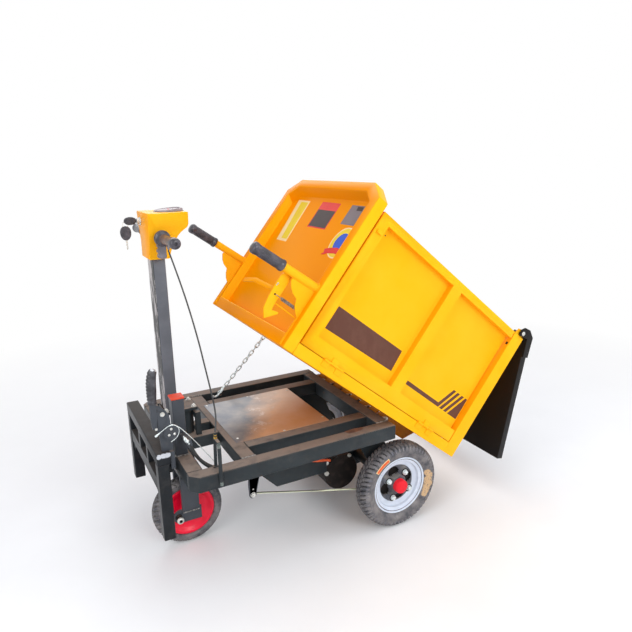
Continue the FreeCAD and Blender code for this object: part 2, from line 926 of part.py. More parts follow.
def rear_tyre(side):
    half = rear_tyre_width / 2
    rim_half = rear_rim_width / 2
    seat = rear_rim_radius - 9
    wall = rear_tyre_radius - rear_rim_radius
    return turned_y(
        [
            (seat, -rim_half + rim_wall),
            (rear_rim_radius, -rim_half + rim_wall),
            (rear_rim_radius + 5, -rim_half),
            (rear_rim_radius + 0.4 * wall, -half),
            (rear_tyre_radius - 4 * wall / 11, -half),
            (rear_tyre_radius - 5, -half + 10),
            (rear_tyre_radius, -half + 20),
            (rear_tyre_radius, half - 20),
            (rear_tyre_radius - 5, half - 10),
            (rear_tyre_radius - 4 * wall / 11, half),
            (rear_rim_radius + 0.4 * wall, half),
            (rear_rim_radius + 5, rim_half),
            (rear_rim_radius, rim_half - rim_wall),
            (seat, rim_half - rim_wall),
        ],
        rear_axle_x, side * rear_wheel_offset, rear_tyre_radius,
    )


def rear_rim(side):
    # Well rim, recessed disc, hub and cap in one turned piece.  Distances run outwards.
    half = rear_rim_width / 2
    seat = rear_rim_radius - 9
    disc_out = half - hub_disc_inset
    disc_in = disc_out - hub_disc_thickness
    bore = spindle_radius + running_clearance
    bore_end = 14.0
    hub_in = -(rear_wheel_offset - axle_tube_half_length) + 3
    outline = [
        (bore, hub_in),
        (hub_radius, hub_in),
        (hub_radius, disc_in),
        (rear_well_radius - rim_wall, disc_in),
        (rear_well_radius - rim_wall, -half + rim_wall + 12),
        (rear_rim_radius - 12, -half + 6),
        (rear_rim_radius - 12, -half),
        (rear_rim_radius, -half),
        (rear_rim_radius, -half + rim_wall),
        (seat, -half + rim_wall),
        (seat, -half + 14),
        (rear_well_radius, -half + 18),
        (rear_well_radius, half - 18),
        (seat, half - 14),
        (seat, half - rim_wall),
        (rear_rim_radius, half - rim_wall),
        (rear_rim_radius, half),
        (rear_rim_radius - 12, half),
        (rear_rim_radius - 12, half - 8),
        (rear_well_radius - rim_wall, half - 14),
        (hub_disc_radius, disc_out + 4),
        (hub_disc_radius, disc_out),
        (hub_cap_radius, disc_out),
        (hub_cap_radius, disc_out + hub_cap_length - 5),
        (hub_cap_radius - 6, disc_out + hub_cap_length),
        (0, disc_out + hub_cap_length),
        (0, bore_end),
        (bore, bore_end),
    ]
    placed = [(radius, side * along) for radius, along in outline]
    return turned_y(placed, rear_axle_x, side * rear_wheel_offset, rear_tyre_radius)


# ---- bed, drawn level ---------------------------------------------------------------------------

def gate_barrel(low_x, high_x, leaf_step):
    # One barrel of a left gate's hinge with its leaf: leaf_step is +1 upwards, -1 downwards.
    barrel = rod(
        gate_knuckle_radius,
        (low_x, gate_hinge_y, gate_hinge_z),
        (high_x, gate_hinge_y, gate_hinge_z),
    )
    leaf_z = sorted((gate_hinge_z, gate_hinge_z + leaf_step * gate_leaf_height))
    leaf = block((low_x, high_x), (half_bed, half_bed + gate_leaf_thickness), leaf_z)
    return joined([barrel, leaf])


def gate_hinge_bore(radius):
    # The pin line through both hinges of the left gate.
    bores = []
    reach = 1.5 * gate_knuckle_length
    for middle in gate_hinge_places:
        bores.append(rod(
            radius,
            (middle - reach, gate_hinge_y, gate_hinge_z),
            (middle + reach, gate_hinge_y, gate_hinge_z),
        ))
    return bores


def floor_hinges():
    # Barrels on the floor's left edge, two to a hinge, with the pins through them.
    half = gate_knuckle_length / 2
    pieces = []
    for middle in gate_hinge_places:
        inner = half + gate_knuckle_gap
        outer = 1.5 * gate_knuckle_length
        pieces.append(gate_barrel(middle - outer, middle - inner, -1))
        pieces.append(gate_barrel(middle + inner, middle + outer, -1))
    return pieces + gate_hinge_bore(gate_pin_radius)


def bed_floor():
    # Floor sheet on a frame of flat channels; small lugs below it hold the chain.
    x = (gate_front_x, bed_rear_x)
    y = (-half_bed, half_bed)
    z = (floor_z, floor_z + floor_thickness)
    slab = block(x, y, z)
    for side in (-1, 1):
        corner = sorted((side * wall_inner, side * (half_bed + 1)))
        slab = slab.cut(block((rear_post_x, bed_rear_x + 1), corner, (z[0] - 1, z[1] + 1)))
    bays = 4
    length = (rear_post_x - x[0] - floor_frame * (bays + 1)) / bays
    hollow_top = z[1] - floor_sheet
    for bay in range(bays):
        low = x[0] + floor_frame + bay * (length + floor_frame)
        for side in (-1, 1):
            edge = side * (half_bed - floor_frame)
            inner = side * floor_frame / 2
            slab = slab.cut(block(
                (low, low + length), (min(edge, inner), max(edge, inner)), (z[0] - 1, hollow_top)
            ))
    lug = block(
        (hinge_x - chain_bed_reach - 12, hinge_x - chain_bed_reach + 12),
        (chain_bed_y - 3, chain_bed_y + 3),
        (z[0] + 8, hollow_top),
    )
    hinges = floor_hinges()
    return joined([slab, lug] + hinges + [mirrored(piece) for piece in hinges])


def bed_front_panel():
    # Pressed front wall: a border with chamfered top corners round a recessed sheet.
    x = (bed_front_x, bed_front_x + front_depth)
    shoulder = half_bed - front_chamfer
    base = floor_z
    outline = [
        (-half_bed, base),
        (half_bed, base),
        (half_bed, base + front_edge_height),
        (shoulder, base + front_height),
        (-shoulder, base + front_height),
        (-half_bed, base + front_edge_height),
    ]
    wall = prism_x(outline, x[0], x[1])
    edge = half_bed - front_border
    top = base + front_height - front_border + 5
    slope = front_chamfer - front_border * 0.5
    low = base + front_border + 4
    side_top = base + front_edge_height - front_border * 0.5
    mouth = [
        (-edge, low), (edge, low), (edge, side_top), (edge - slope, top), (-edge + slope, top), (-edge, side_top),
    ]
    drop = front_lip_slope
    bottom = [
        (-edge, low), (edge, low), (edge, side_top - drop), (edge - slope, top - drop),
        (-edge + slope, top - drop), (-edge, side_top - drop),
    ]
    wires = []
    for depth, points in ((-1, mouth), (front_recess, bottom)):
        corners = [Vector(x[0] + depth, y, z) for y, z in points]
        wires.append(Part.makePolygon(corners + corners[:1]))
    recess = Part.makeLoft(wires, True, True)
    return wall.cut(recess)


def rear_post():
    # Left corner post, full height beside the floor; it carries the tailgate's pin.
    x = (rear_post_x, bed_rear_x)
    y = (wall_inner, half_bed)
    z = (floor_z, floor_z + side_height)
    post = block(x, y, z)
    ear = prism_y(
        [
            (tailgate_pivot_x - 20, z[1]),
            (tailgate_pivot_x - 12, tailgate_pivot_z + 12),
            (tailgate_pivot_x + 12, tailgate_pivot_z + 12),
            (bed_rear_x, z[1]),
        ],
        half_bed - 16, half_bed - 6,
    )
    whole = joined([post, ear])
    pin = rod(
        tailgate_pin_radius,
        (tailgate_pivot_x, wall_inner, tailgate_pivot_z),
        (tailgate_pivot_x, half_bed, tailgate_pivot_z),
    )
    return whole.cut(pin)


def side_gate():
    # Left drop side: a framed panel with two deep pockets outside, hinged along its lower edge.
    high = floor_z + side_height
    x = (gate_start_x, gate_rear_x)
    inner = half_bed - gate_depth
    panel = block(x, (inner, half_bed), (gate_low_z, high))
    rib = (hinge_x - gate_rib_start, hinge_x - gate_rib_start + gate_rib_width)
    pocket_y = (inner + panel_sheet, half_bed + 1)
    pocket_z = (gate_low_z + gate_bottom_border, high - gate_top_border)
    panel = panel.cut(block((x[0] + gate_front_post, rib[0]), pocket_y, pocket_z))
    panel = panel.cut(block((rib[1], x[1] + 1), pocket_y, pocket_z))
    latch = block(
        (x[0] + 10, x[0] + 34), (half_bed, half_bed + latch_plate), (high - 70, high - 58)
    )
    half = gate_knuckle_length / 2
    barrels = [gate_barrel(middle - half, middle + half, 1) for middle in gate_hinge_places]
    gate = joined([panel, latch] + barrels)
    for bore in gate_hinge_bore(gate_pin_radius + running_clearance):
        gate = gate.cut(bore)
    return gate


def hinge_arm():
    # Bracket under the floor with the sleeve that turns on the hinge pin.
    y = (hinge_arm_offset - hinge_arm_width / 2, hinge_arm_offset + hinge_arm_width / 2)
    outline = [
        (hinge_x - 6, hinge_z),
        (hinge_x - 6, floor_z),
        (hinge_x + hinge_arm_length, floor_z),
        (hinge_x + hinge_arm_length * 0.8, floor_z - hinge_arm_depth),
        (hinge_x + hinge_arm_length * 0.6, floor_z - hinge_arm_depth),
        (hinge_x + 24, hinge_z - 6),
        (hinge_x + 6, hinge_z - 6),
    ]
    web = prism_y(outline, y[0], y[1])
    sleeve = rod(hinge_sleeve_radius, (hinge_x, y[0], hinge_z), (hinge_x, y[1], hinge_z))
    bore = rod(
        hinge_pin_radius + running_clearance,
        (hinge_x, y[0] - 1, hinge_z),
        (hinge_x, y[1] + 1, hinge_z),
    )
    return joined([web, sleeve]).cut(bore)


def push_handle():
    # Left handle welded to the front wall's border, with a scalloped gusset below it.
    droop = math.radians(handle_droop)
    height = floor_z + handle_height
    end = (
        bed_front_x - handle_length * math.cos(droop),
        handle_offset,
        height - handle_length * math.sin(droop),
    )
    bar = rod(handle_radius, (bed_front_x + 4, handle_offset, height), end)
    half = gusset_thickness / 2
    outline = [
        (0, handle_height - 8), (0, 100), (20, 116), (33, 133), (40, 150),
        (62, 158), (76, 169), (90, 188), (90, 196),
    ]
    gusset = prism_y(
        [(bed_front_x - out, floor_z + up) for out, up in outline],
        handle_offset - half, handle_offset + half,
    )
    wall_side = block(
        (bed_front_x, bed_front_x + 100), (handle_offset - 50, handle_offset + 50), (floor_z, height + 50)
    )
    return joined([bar, gusset]).cut(wall_side), end


def handle_grip(bar, end):
    # Rubber sleeve over the outer end of a push handle, with a knob outside and a lip inside.
    droop = math.radians(handle_droop)
    along = Vector(math.cos(droop), 0, math.sin(droop))
    tip = Vector(*end).sub(along * 2)
    sleeve = Part.makeCylinder(handle_grip_radius, handle_grip_length, tip, along)
    knob = Part.makeCylinder(handle_knob_radius, handle_knob_length, tip, along)
    end_face = min(knob.Faces, key=lambda face: face.CenterOfMass.x)
    knob = knob.makeFillet(5, end_face.Edges)
    lip = Part.makeCylinder(handle_grip_radius + 1.5, 5, tip + along * (handle_grip_length - 5), along)
    return joined([sleeve, knob, lip]).cut(bar)


def latch_lever():
    # Strap on the inner side of the right handle, its hook below, and the release bar to the middle.
    y = -lever_offset
    strap = [
        (112, 206), (86, 206), (86, 139), (87, 112), (84, 79), (59, 84), (58, 79), (91, 44),
        (112, 72), (119, 113), (121, 150), (121, 182),
    ]
    plate = prism_y(
        [(bed_front_x - out, floor_z + up) for out, up in strap],
        y - lever_thickness / 2, y + lever_thickness / 2,
    )
    # The bar's centre line: distance out from the wall, place across, height.
    line = [(116, y, 138), (117, y + 34, 137), (121, y + 70, 137), (126, y + 132, 138), (129, y + 206, 124)]
    pieces = [plate]
    for (out, side, up), (next_out, next_side, next_up) in zip(line, line[1:]):
        ends = []
        for place, over, high in ((out, side, up), (next_out, next_side, next_up)):
            x = bed_front_x - place
            corners = [
                Vector(x, over, floor_z + high - lever_bar_width / 2),
                Vector(x + lever_bar_thickness, over, floor_z + high - lever_bar_width / 2),
                Vector(x + lever_bar_thickness, over, floor_z + high + lever_bar_width / 2),
                Vector(x, over, floor_z + high + lever_bar_width / 2),
            ]
            ends.append(Part.makePolygon(corners + corners[:1]))
        pieces.append(Part.makeLoft(ends, True, True))
    return joined(pieces).cut(mirrored(push_handle()[0]))


def tailgate():
    # Pan with its flanges turned outwards, hung on two side arms; drawn shut, then swung open.
    x_in = tailgate_pivot_x + tailgate_inner
    x_out = x_in + tailgate_depth
    z_top = tailgate_pivot_z - tailgate_top
    z_low = floor_z + tailgate_foot
    pan = block((x_in, x_out), (-half_bed, half_bed), (z_low, z_top))
    inset = tailgate_sheet
    hollow = block(
        (x_in + tailgate_sheet, x_out + 1),
        (-half_bed + inset, half_bed - inset),
        (z_low + inset, z_top - inset),
    )
    pan = pan.cut(hollow)
    pieces = [pan]
    for side in (-1, 1):
        inner = side * (half_bed + tailgate_side_gap)
        outer = inner + side * tailgate_arm_thickness
        low, high = min(inner, outer), max(inner, outer)
        arm = prism_y(
            [
                (tailgate_pivot_x - 16, tailgate_pivot_z - 8),
                (tailgate_pivot_x - 10, tailgate_pivot_z + 16),
                (tailgate_pivot_x + 8, tailgate_pivot_z + 24),
                (tailgate_pivot_x + 36, tailgate_pivot_z + 16),
                (x_out + 4, tailgate_pivot_z - 14),
                (x_out, tailgate_pivot_z - 96),
                (x_in, tailgate_pivot_z - 96),
                (x_in, tailgate_pivot_z - 20),
            ],
            low, high,
        )
        tie = block(
            (x_in, x_out), (min(side * (half_bed - 1), inner), max(side * (half_bed - 1), inner)),
            (tailgate_pivot_z - 96, tailgate_pivot_z - 30),
        )
        pin = rod(
            tailgate_pin_radius - running_clearance,
            (tailgate_pivot_x, side * (wall_inner + 2), tailgate_pivot_z),
            (tailgate_pivot_x, outer, tailgate_pivot_z),
        )
        pieces += [arm, tie, pin]
    return turned(joined(pieces), tailgate_pivot_x, tailgate_pivot_z, -tailgate_open)


# ---- cable and chain ----------------------------------------------------------------------------

def smooth_route(points):
    # Straight runs joined by tangent arcs, each as large as its two runs allow.
    corners = [Vector(*point) for point in points]
    edges = []
    radii = []
    start = corners[0]
    for before, corner, after in zip(corners, corners[1:], corners[2:]):
        back = before.sub(corner)
        ahead = after.sub(corner)
        shorter = min(back.Length, ahead.Length)
        back.normalize()
        ahead.normalize()
        half_turn = (math.pi - back.getAngle(ahead)) / 2
        trim = 0.45 * shorter
        radius = trim / math.tan(half_turn)
        radii.append(radius)
        enter = corner + back * trim
        leave = corner + ahead * trim
        middle_direction = back + ahead
        middle_direction.normalize()
        depth = radius / math.cos(half_turn) - radius
        edges.append(Part.makeLine(start, enter))
        edges.append(Part.Arc(enter, corner + middle_direction * depth, leave).toShape())
        start = leave
    edges.append(Part.makeLine(start, corners[-1]))
    return Part.Wire(edges), radii


def brake_cable():
    wire, radii = smooth_route(brake_cable_points)
    print("brake cable arc radii (mm):", [round(radius) for radius in radii])
    first = Vector(*brake_cable_points[0])
    direction = Vector(*brake_cable_points[1]).sub(first)
    circle = Part.makeCircle(cable_radius, first, direction)
    body = wire.makePipeShell([Part.Wire(circle)], True, False)
    expected = math.pi * cable_radius ** 2 * wire.Length
    print("brake cable volume over section times length:", round(body.Volume / expected, 4))
    return body


def tipping_chain():
    low = (chain_anchor_x, rail_inner - 7, rail_top - 14 + chain_radius)
    high = tipped_point(hinge_x - chain_bed_reach, chain_bed_y, floor_z + 6.6)
    print("chain length (mm):", round(Vector(*high).sub(Vector(*low)).Length, 1))
    return rod(chain_radius, low, high)


# ---- assembly -----------------------------------------------------------------------------------

def build_chassis():
    rail = side_rail()
    beam, legs, low_beam = bumper_parts()
    return {
        "side_rail_left": joined([rail, chain_anchor()]),
        "side_rail_right": mirrored(rail),
        "front_cross_member": cross_member(0, rail_inner),
        "rear_cross_member": cross_member(rear_cross_start, rail_inner),
        "battery_cross_member": battery_cross_member(),
        "inner_rails": pair(inner_rail()),
        "centre_beams": centre_beams(),
        "steering_head": steering_head(),
        "bumper_top_beam": beam,
        "bumper_legs": legs,
        "bumper_lower_beam": low_beam,
        "latch_post": latch_post(),
        "battery_box": battery_box(),
        "battery_cover": battery_cover(),
        "rear_axle": rear_axle(),
        "axle_brackets": pair(axle_bracket()),
        "motor": motor(),
        "bed_hinge_rod": hinge_rod(),
        "parking_brake_bracket": parking_brake_bracket(),
        "parking_brake_lever": parking_brake_lever(),
        "relay_lever": relay_lever(),
        "cable_stop": cable_stop(),
    }


def build_steering():
    bar = handlebar()
    return {
        "steering_stem": steering_stem(),
        "fork_legs": pair(fork_leg()),
        "front_axle": front_axle(),
        "handle_column": column_tube().cut(bar),
        "control_head": control_head(),
        "gauge": gauge(),
        "handlebar": bar,
        "bar_grip_left": bar_grip(1, grip_length, False),
        "throttle_grip": bar_grip(-1, throttle_length, True),
        "brake_lever": brake_lever(),
        "key_switch": key_switch(),
    }


def build_wheels():
    return {
        "front_tyre": front_tyre(),
        "front_rim": front_rim(),
        "rear_tyre_left": rear_tyre(1),
        "rear_rim_left": rear_rim(1),
        "rear_tyre_right": rear_tyre(-1),
        "rear_rim_right": rear_rim(-1),
    }


def build_bed():
    gate = side_gate()
    handle, handle_end = push_handle()
    level = {
        "bed_floor": bed_floor(),
        "bed_front_panel": bed_front_panel(),
        "rear_posts": pair(rear_post()),
        "side_gate_left": gate,
        "side_gate_right": mirrored(gate),
        "hinge_arms": pair(hinge_arm()),
        "push_handles": pair(handle),
        "handle_grips": pair(handle_grip(handle, handle_end)),
        "latch_lever": latch_lever(),
        "tailgate": tailgate(),
    }
    return {name: tipped(shape) for name, shape in level.items()}


def main():
    nodes = {}
    nodes.update(build_chassis())
    nodes.update(build_steering())
    nodes.update(build_wheels())
    nodes.update(build_bed())
    nodes["tipping_chain"] = tipping_chain()
    nodes["brake_cable"] = brake_cable()

    whole = FreeCAD.BoundBox()
    for shape in nodes.values():
        whole.add(shape.BoundBox)
    shift = Vector(-(whole.XMin + whole.XMax) / 2, 0, 0)

    os.makedirs("parts", exist_ok=True)
    for name, shape in nodes.items():
        placed = shape.copy()
        placed.translate(shift)
        placed.exportStep("parts/" + name + ".step")
        print(name, "solids", len(placed.Solids), "valid", placed.isValid())
    print("shift", round(shift.x, 3))
    print("box", [round(value, 2) for value in (
        whole.XMin + shift.x, whole.XMax + shift.x, whole.YMin, whole.YMax, whole.ZMin, whole.ZMax
    )])


main()
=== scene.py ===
import json
import math

import bmesh
import bpy
import numpy as np
from mathutils import Matrix, Vector


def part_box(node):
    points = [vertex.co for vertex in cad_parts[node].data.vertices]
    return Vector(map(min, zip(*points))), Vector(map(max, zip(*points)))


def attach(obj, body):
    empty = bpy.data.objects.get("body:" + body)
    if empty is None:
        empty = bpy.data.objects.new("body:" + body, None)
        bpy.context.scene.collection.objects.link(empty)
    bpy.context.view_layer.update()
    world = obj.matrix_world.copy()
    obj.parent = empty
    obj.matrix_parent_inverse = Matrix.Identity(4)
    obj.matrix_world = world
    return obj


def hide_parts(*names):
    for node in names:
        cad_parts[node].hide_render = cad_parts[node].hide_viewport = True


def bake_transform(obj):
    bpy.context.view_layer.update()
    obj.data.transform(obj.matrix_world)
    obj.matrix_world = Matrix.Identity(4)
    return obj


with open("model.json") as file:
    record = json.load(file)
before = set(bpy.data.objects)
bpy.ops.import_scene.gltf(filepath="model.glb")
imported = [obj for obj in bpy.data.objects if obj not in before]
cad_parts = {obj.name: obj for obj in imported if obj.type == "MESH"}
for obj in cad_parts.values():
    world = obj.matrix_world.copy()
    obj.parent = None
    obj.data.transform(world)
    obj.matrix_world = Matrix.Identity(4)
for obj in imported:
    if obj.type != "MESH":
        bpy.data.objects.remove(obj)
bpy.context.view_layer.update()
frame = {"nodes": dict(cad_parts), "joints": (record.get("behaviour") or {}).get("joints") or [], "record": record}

# Places are drawn in millimetres and put down in the frame's metres.
# Chassis drawing: x = 0 is the operator's edge of the side rails, +x towards the tailgate.
# Bed drawing: level, x = 0 at the hinge pin, z = 0 at the underside of the floor.

mm = 0.001
joints = {joint["name"]: joint for joint in frame["joints"]}
bedPivot = np.array(joints["bed_tip"]["pos_m"])
bedTilt = math.radians(-joints["bed_tip"]["range_deg"][0])
bedDrop = 15.0                      # floor's underside above the hinge pin's axis
gatePivot = np.array(joints["tailgate_swing"]["pos_m"])
gateOpen = math.radians(joints["tailgate_swing"]["range_deg"][1])
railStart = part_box("side_rail_right")[0].x


def onChassis(points):
    # millimetres from the rails' front edge to metres
    return np.asarray(points, float) * mm + np.array([railStart, 0.0, 0.0])


def turnedAboutY(points, angle):
    # positive lifts the operator's side, as the bed does when it tips
    x, y, z = np.moveaxis(np.asarray(points, float), -1, 0)
    return np.stack([x * math.cos(angle) + z * math.sin(angle), y,
                     -x * math.sin(angle) + z * math.cos(angle)], -1)


def onBed(points):
    return turnedAboutY((np.asarray(points, float) + [0, 0, bedDrop]) * mm, bedTilt) + bedPivot


def onTailgate(points):
    # tailgate drawing: shut gate on a level bed, x and z from its pivot
    return turnedAboutY(np.asarray(points, float) * mm, bedTilt - gateOpen) + gatePivot


def corners(node):
    # all mesh points of a CAD node, in metres
    data = frame["nodes"][node].data
    flat = np.empty(len(data.vertices) * 3, np.float32)
    data.vertices.foreach_get("co", flat)
    return flat.reshape(-1, 3).astype(float)


def chassisBox(node):
    points = (corners(node) - [railStart, 0, 0]) / mm
    return points.min(0), points.max(0)


# Camera and lamps.

cameraLook = {"place": (-390.2, -1910.0, 1354.0), "azimuth": -27.82, "elevation": 14.84, "roll": -1.11,
              "lens": 33.085, "sensor": 36.0}


def addCamera(look):
    data = bpy.data.cameras.new("camera")
    data.lens = look["lens"]
    data.sensor_width = look["sensor"]
    camera = bpy.data.objects.new("camera", data)
    bpy.context.scene.collection.objects.link(camera)
    a, e, r = (math.radians(look[key]) for key in ("azimuth", "elevation", "roll"))
    back = Vector((math.sin(a) * math.cos(e), -math.cos(a) * math.cos(e), math.sin(e)))
    right = Vector((math.cos(a), math.sin(a), 0))
    up = back.cross(right)
    tilted = right * math.cos(r) + up * math.sin(r)
    upright = -right * math.sin(r) + up * math.cos(r)
    turn = Matrix((tilted, upright, back)).transposed()
    camera.matrix_world = Matrix.Translation(Vector(onChassis(look["place"]))) @ turn.to_4x4()
    bpy.context.scene.camera = camera


addCamera(cameraLook)

lampLook = [
    # name, place in metres, aim, size, watts
    ("keyLamp", (0.5, -4.3, 2.7), (0.1, 0, 0.5), 2.4, 76),
    ("sideLamp", (-3.4, -1.8, 2.4), (0, 0, 0.6), 2.4, 52),
    ("fillLamp", (3.4, -2.2, 2.4), (0.2, 0, 0.6), 2.6, 34),
    ("backLamp", (0.4, 3.8, 3.0), (0, 0, 0.6), 2.6, 45),
    ("topLamp", (0.0, -0.4, 4.2), (0, 0, 0), 3.0, 34),
]


def addLamps(look):
    for name, place, aim, size, watts in look:
        data = bpy.data.lights.new(name, "AREA")
        data.shape = "DISK"
        data.size = size
        data.energy = watts
        lamp = bpy.data.objects.new(name, data)
        bpy.context.scene.collection.objects.link(lamp)
        lamp.location = place
        lamp.rotation_euler = (Vector(aim) - Vector(place)).to_track_quat("-Z", "Y").to_euler()


addLamps(lampLook)


# Materials: one function for each way a surface was made.

def colour(code):
    # sRGB hex to linear
    values = [int(code[i:i + 2], 16) / 255 for i in (1, 3, 5)]
    linear = [v / 12.92 if v <= 0.04045 else ((v + 0.055) / 1.055) ** 2.4 for v in values]
    return (*linear, 1.0)


def addNode(tree, kind, settings=None):
    # settings are attributes by name and sockets by name or number; a socket of another node is linked,
    # and a hex code is a colour
    node = tree.nodes.new("ShaderNode" + kind)
    for key, value in (settings or {}).items():
        if isinstance(value, bpy.types.NodeSocket):
            tree.links.new(value, node.inputs[key])
        elif isinstance(key, str) and hasattr(node, key):
            setattr(node, key, value)
        else:
            node.inputs[key].default_value = colour(value) if isinstance(value, str) else value
    return node.outputs


def newMaterial(name):
    made = bpy.data.materials.new(name)
    made.use_nodes = True
    made.node_tree.nodes.clear()
    return made, made.node_tree


# In every material a noise's scale is a metre over the pattern's real width in millimetres, and a
# MapRange turns the noise into a share from 0 to 1.
metre = 1000.0


def raggedSpots(tree, place, spots, rough):
    # 1 close to any of the spots (x, y, z, reach in millimetres, frame's own axes), with a ragged edge:
    # the distance plus 0.9 of the reach times the noise fades from 1.3 to 1.55 of the reach
    total = None
    ragged = addNode(tree, "TexNoise", {"Vector": place, "Scale": metre / rough, "Detail": 5.0,
                                        "Roughness": 0.65})
    for x, y, z, reach in spots:
        gap = addNode(tree, "VectorMath", {"operation": "DISTANCE", 0: place, 1: (x * mm, y * mm, z * mm)})
        shifted = addNode(tree, "Math", {"operation": "MULTIPLY_ADD", 0: ragged[0], 1: reach * mm * 0.9,
                                         2: gap[1]})
        spot = addNode(tree, "MapRange", {0: shifted[0], 1: reach * mm * 1.55, 2: reach * mm * 1.3})[0]
        if total is not None:
            spot = addNode(tree, "Math", {"operation": "MAXIMUM", 0: total, 1: spot})[0]
        total = spot
    return total


def sprayedEnamel(name, look):
    # Enamel sprayed on sheet steel: glossy, with a faint orange peel; dust lies on faces that look up,
    # and bare steel shows where the paint is rubbed through.
    made, tree = newMaterial(name)
    texture = addNode(tree, "TexCoord")
    place = texture["Object"]
    facing = addNode(tree, "SeparateXYZ", {0: texture["Normal"]})
    clouds = addNode(tree, "TexNoise", {
        "Vector": place, "Scale": metre / look["patch"], "Detail": 4.0, "Roughness": 0.55})
    patches = addNode(tree, "MapRange", {0: clouds[0], 1: 0.35, 2: 0.65})
    tone = addNode(tree, "Mix", {"data_type": "RGBA", 0: patches[0], 6: look["base"], 7: look["tint"]})[2]
    if "shade" in look:
        # painted shade: faces turned towards the operator get a deeper orange, standing in for their shade
        turnedAway = addNode(tree, "MapRange", {0: facing["X"], 1: -0.2, 2: -0.8})
        tone = addNode(tree, "Mix", {"data_type": "RGBA", 0: turnedAway[0], 6: tone, 7: look["shade"]})[2]
    lying = addNode(tree, "MapRange", {0: facing["Z"], 1: 0.6, 2: 0.95})
    drift = addNode(tree, "TexNoise", {
        "Vector": place, "Scale": metre / look["dustSize"], "Detail": 6.0, "Roughness": 0.65})
    cover = addNode(tree, "MapRange", {0: drift[0], 1: look["dustLow"], 2: look["dustHigh"]})
    lain = addNode(tree, "Math", {"operation": "MULTIPLY", 0: lying[0], 1: cover[0]})
    dust = addNode(tree, "Math", {"operation": "MULTIPLY", 0: lain[0], 1: look["dustMost"]})
    tone = addNode(tree, "Mix", {"data_type": "RGBA", 0: dust[0], 6: tone, 7: look["dust"]})[2]
    if "film" in look:
        # a thin dry film on upright faces too, in patches 35 mm wide
        streaks = addNode(tree, "TexNoise", {"Vector": place, "Scale": metre / 35, "Detail": 6.0,
                                             "Roughness": 0.6})
        film = addNode(tree, "MapRange", {0: streaks[0], 1: 0.5, 2: 0.8})
        share = addNode(tree, "Math", {"operation": "MULTIPLY", 0: film[0], 1: look["filmMost"]})
        tone = addNode(tree, "Mix", {"data_type": "RGBA", 0: share[0], 6: tone, 7: look["film"]})[2]
    chips = addNode(tree, "TexNoise", {
        "Vector": place, "Scale": metre / look["markSize"], "Detail": 8.0, "Roughness": 0.7})
    marks = addNode(tree, "MapRange", {0: chips[0], 1: look["markLow"], 2: look["markLow"] + 0.03})
    share = addNode(tree, "Math", {"operation": "MULTIPLY", 0: marks[0], 1: look["markMost"]})
    tone = addNode(tree, "Mix", {"data_type": "RGBA", 0: share[0], 6: tone, 7: look["mark"]})[2]
    if "bare" in look:
        worn = raggedSpots(tree, place, look["bare"], look["bareRough"])
        tone = addNode(tree, "Mix", {"data_type": "RGBA", 0: worn, 6: tone, 7: look["bareTone"]})[2]
    if "scraped" in look:
        # painted shade: the face turned towards the operator is near-black; on that face, upright streaks where a
        # cable has rubbed the tube down to primer and steel
        face = addNode(tree, "MapRange", {0: facing["X"], 1: -0.6, 2: -0.9})
        tone = addNode(tree, "Mix", {"data_type": "RGBA", 0: face[0], 6: tone, 7: look["underScrapes"]})[2]
        upright = addNode(tree, "Mapping", {"Vector": place, "Scale": (1.0, 1.0, 0.22)})
        streaks = addNode(tree, "TexNoise", {
            "Vector": upright[0], "Scale": metre / look["scrapedSize"], "Detail": 7.0, "Roughness": 0.7})
        rubbed = addNode(tree, "MapRange", {0: streaks[0], 1: 0.49, 2: 0.52})
        share = addNode(tree, "Math", {"operation": "MULTIPLY", 0: face[0], 1: rubbed[0]})
        tone = addNode(tree, "Mix", {"data_type": "RGBA", 0: share[0], 6: tone, 7: look["scraped"]})[2]
    rough = addNode(tree, "Math", {"operation": "MULTIPLY_ADD", 0: dust[0], 1: 0.35, 2: look["rough"]})
    peel = addNode(tree, "TexNoise", {
        "Vector": place, "Scale": metre / look["peel"], "Detail": 2.0, "Roughness": 0.55})
    bumps = addNode(tree, "Bump", {"Strength": 1.0, "Distance": look["peelDepth"] * mm, "Height": peel[0]})
    surface = addNode(tree, "BsdfPrincipled", {
        "Base Color": tone, "Roughness": rough[0], "Specular IOR Level": look.get("specular", 0.5),
        "Normal": bumps[0]})
    addNode(tree, "OutputMaterial", {0: surface[0]})
    return made


def platedSteel(name, look):
    # Bare or plated steel: metallic, with fine streaks and dull spots of oxide.
    made, tree = newMaterial(name)
    place = addNode(tree, "TexCoord")["Object"]
    clouds = addNode(tree, "TexNoise", {
        "Vector": place, "Scale": metre / look["spot"], "Detail": 6.0, "Roughness": 0.6})
    spots = addNode(tree, "MapRange", {0: clouds[0], 1: look["low"], 2: look["high"]})
    tone = addNode(tree, "Mix", {"data_type": "RGBA", 0: spots[0], 6: look["base"], 7: look["oxide"]})[2]
    rough = addNode(tree, "Math", {"operation": "MULTIPLY_ADD", 0: spots[0], 1: look["dull"],
                                   2: look["rough"]})
    grain = addNode(tree, "TexNoise", {
        "Vector": place, "Scale": metre / look["grain"], "Detail": 3.0, "Roughness": 0.55})
    bumps = addNode(tree, "Bump", {"Strength": 1.0, "Distance": look["grainDepth"] * mm, "Height": grain[0]})
    surface = addNode(tree, "BsdfPrincipled", {
        "Base Color": tone, "Metallic": look["metal"], "Roughness": rough[0], "Normal": bumps[0]})
    addNode(tree, "OutputMaterial", {0: surface[0]})
    return made


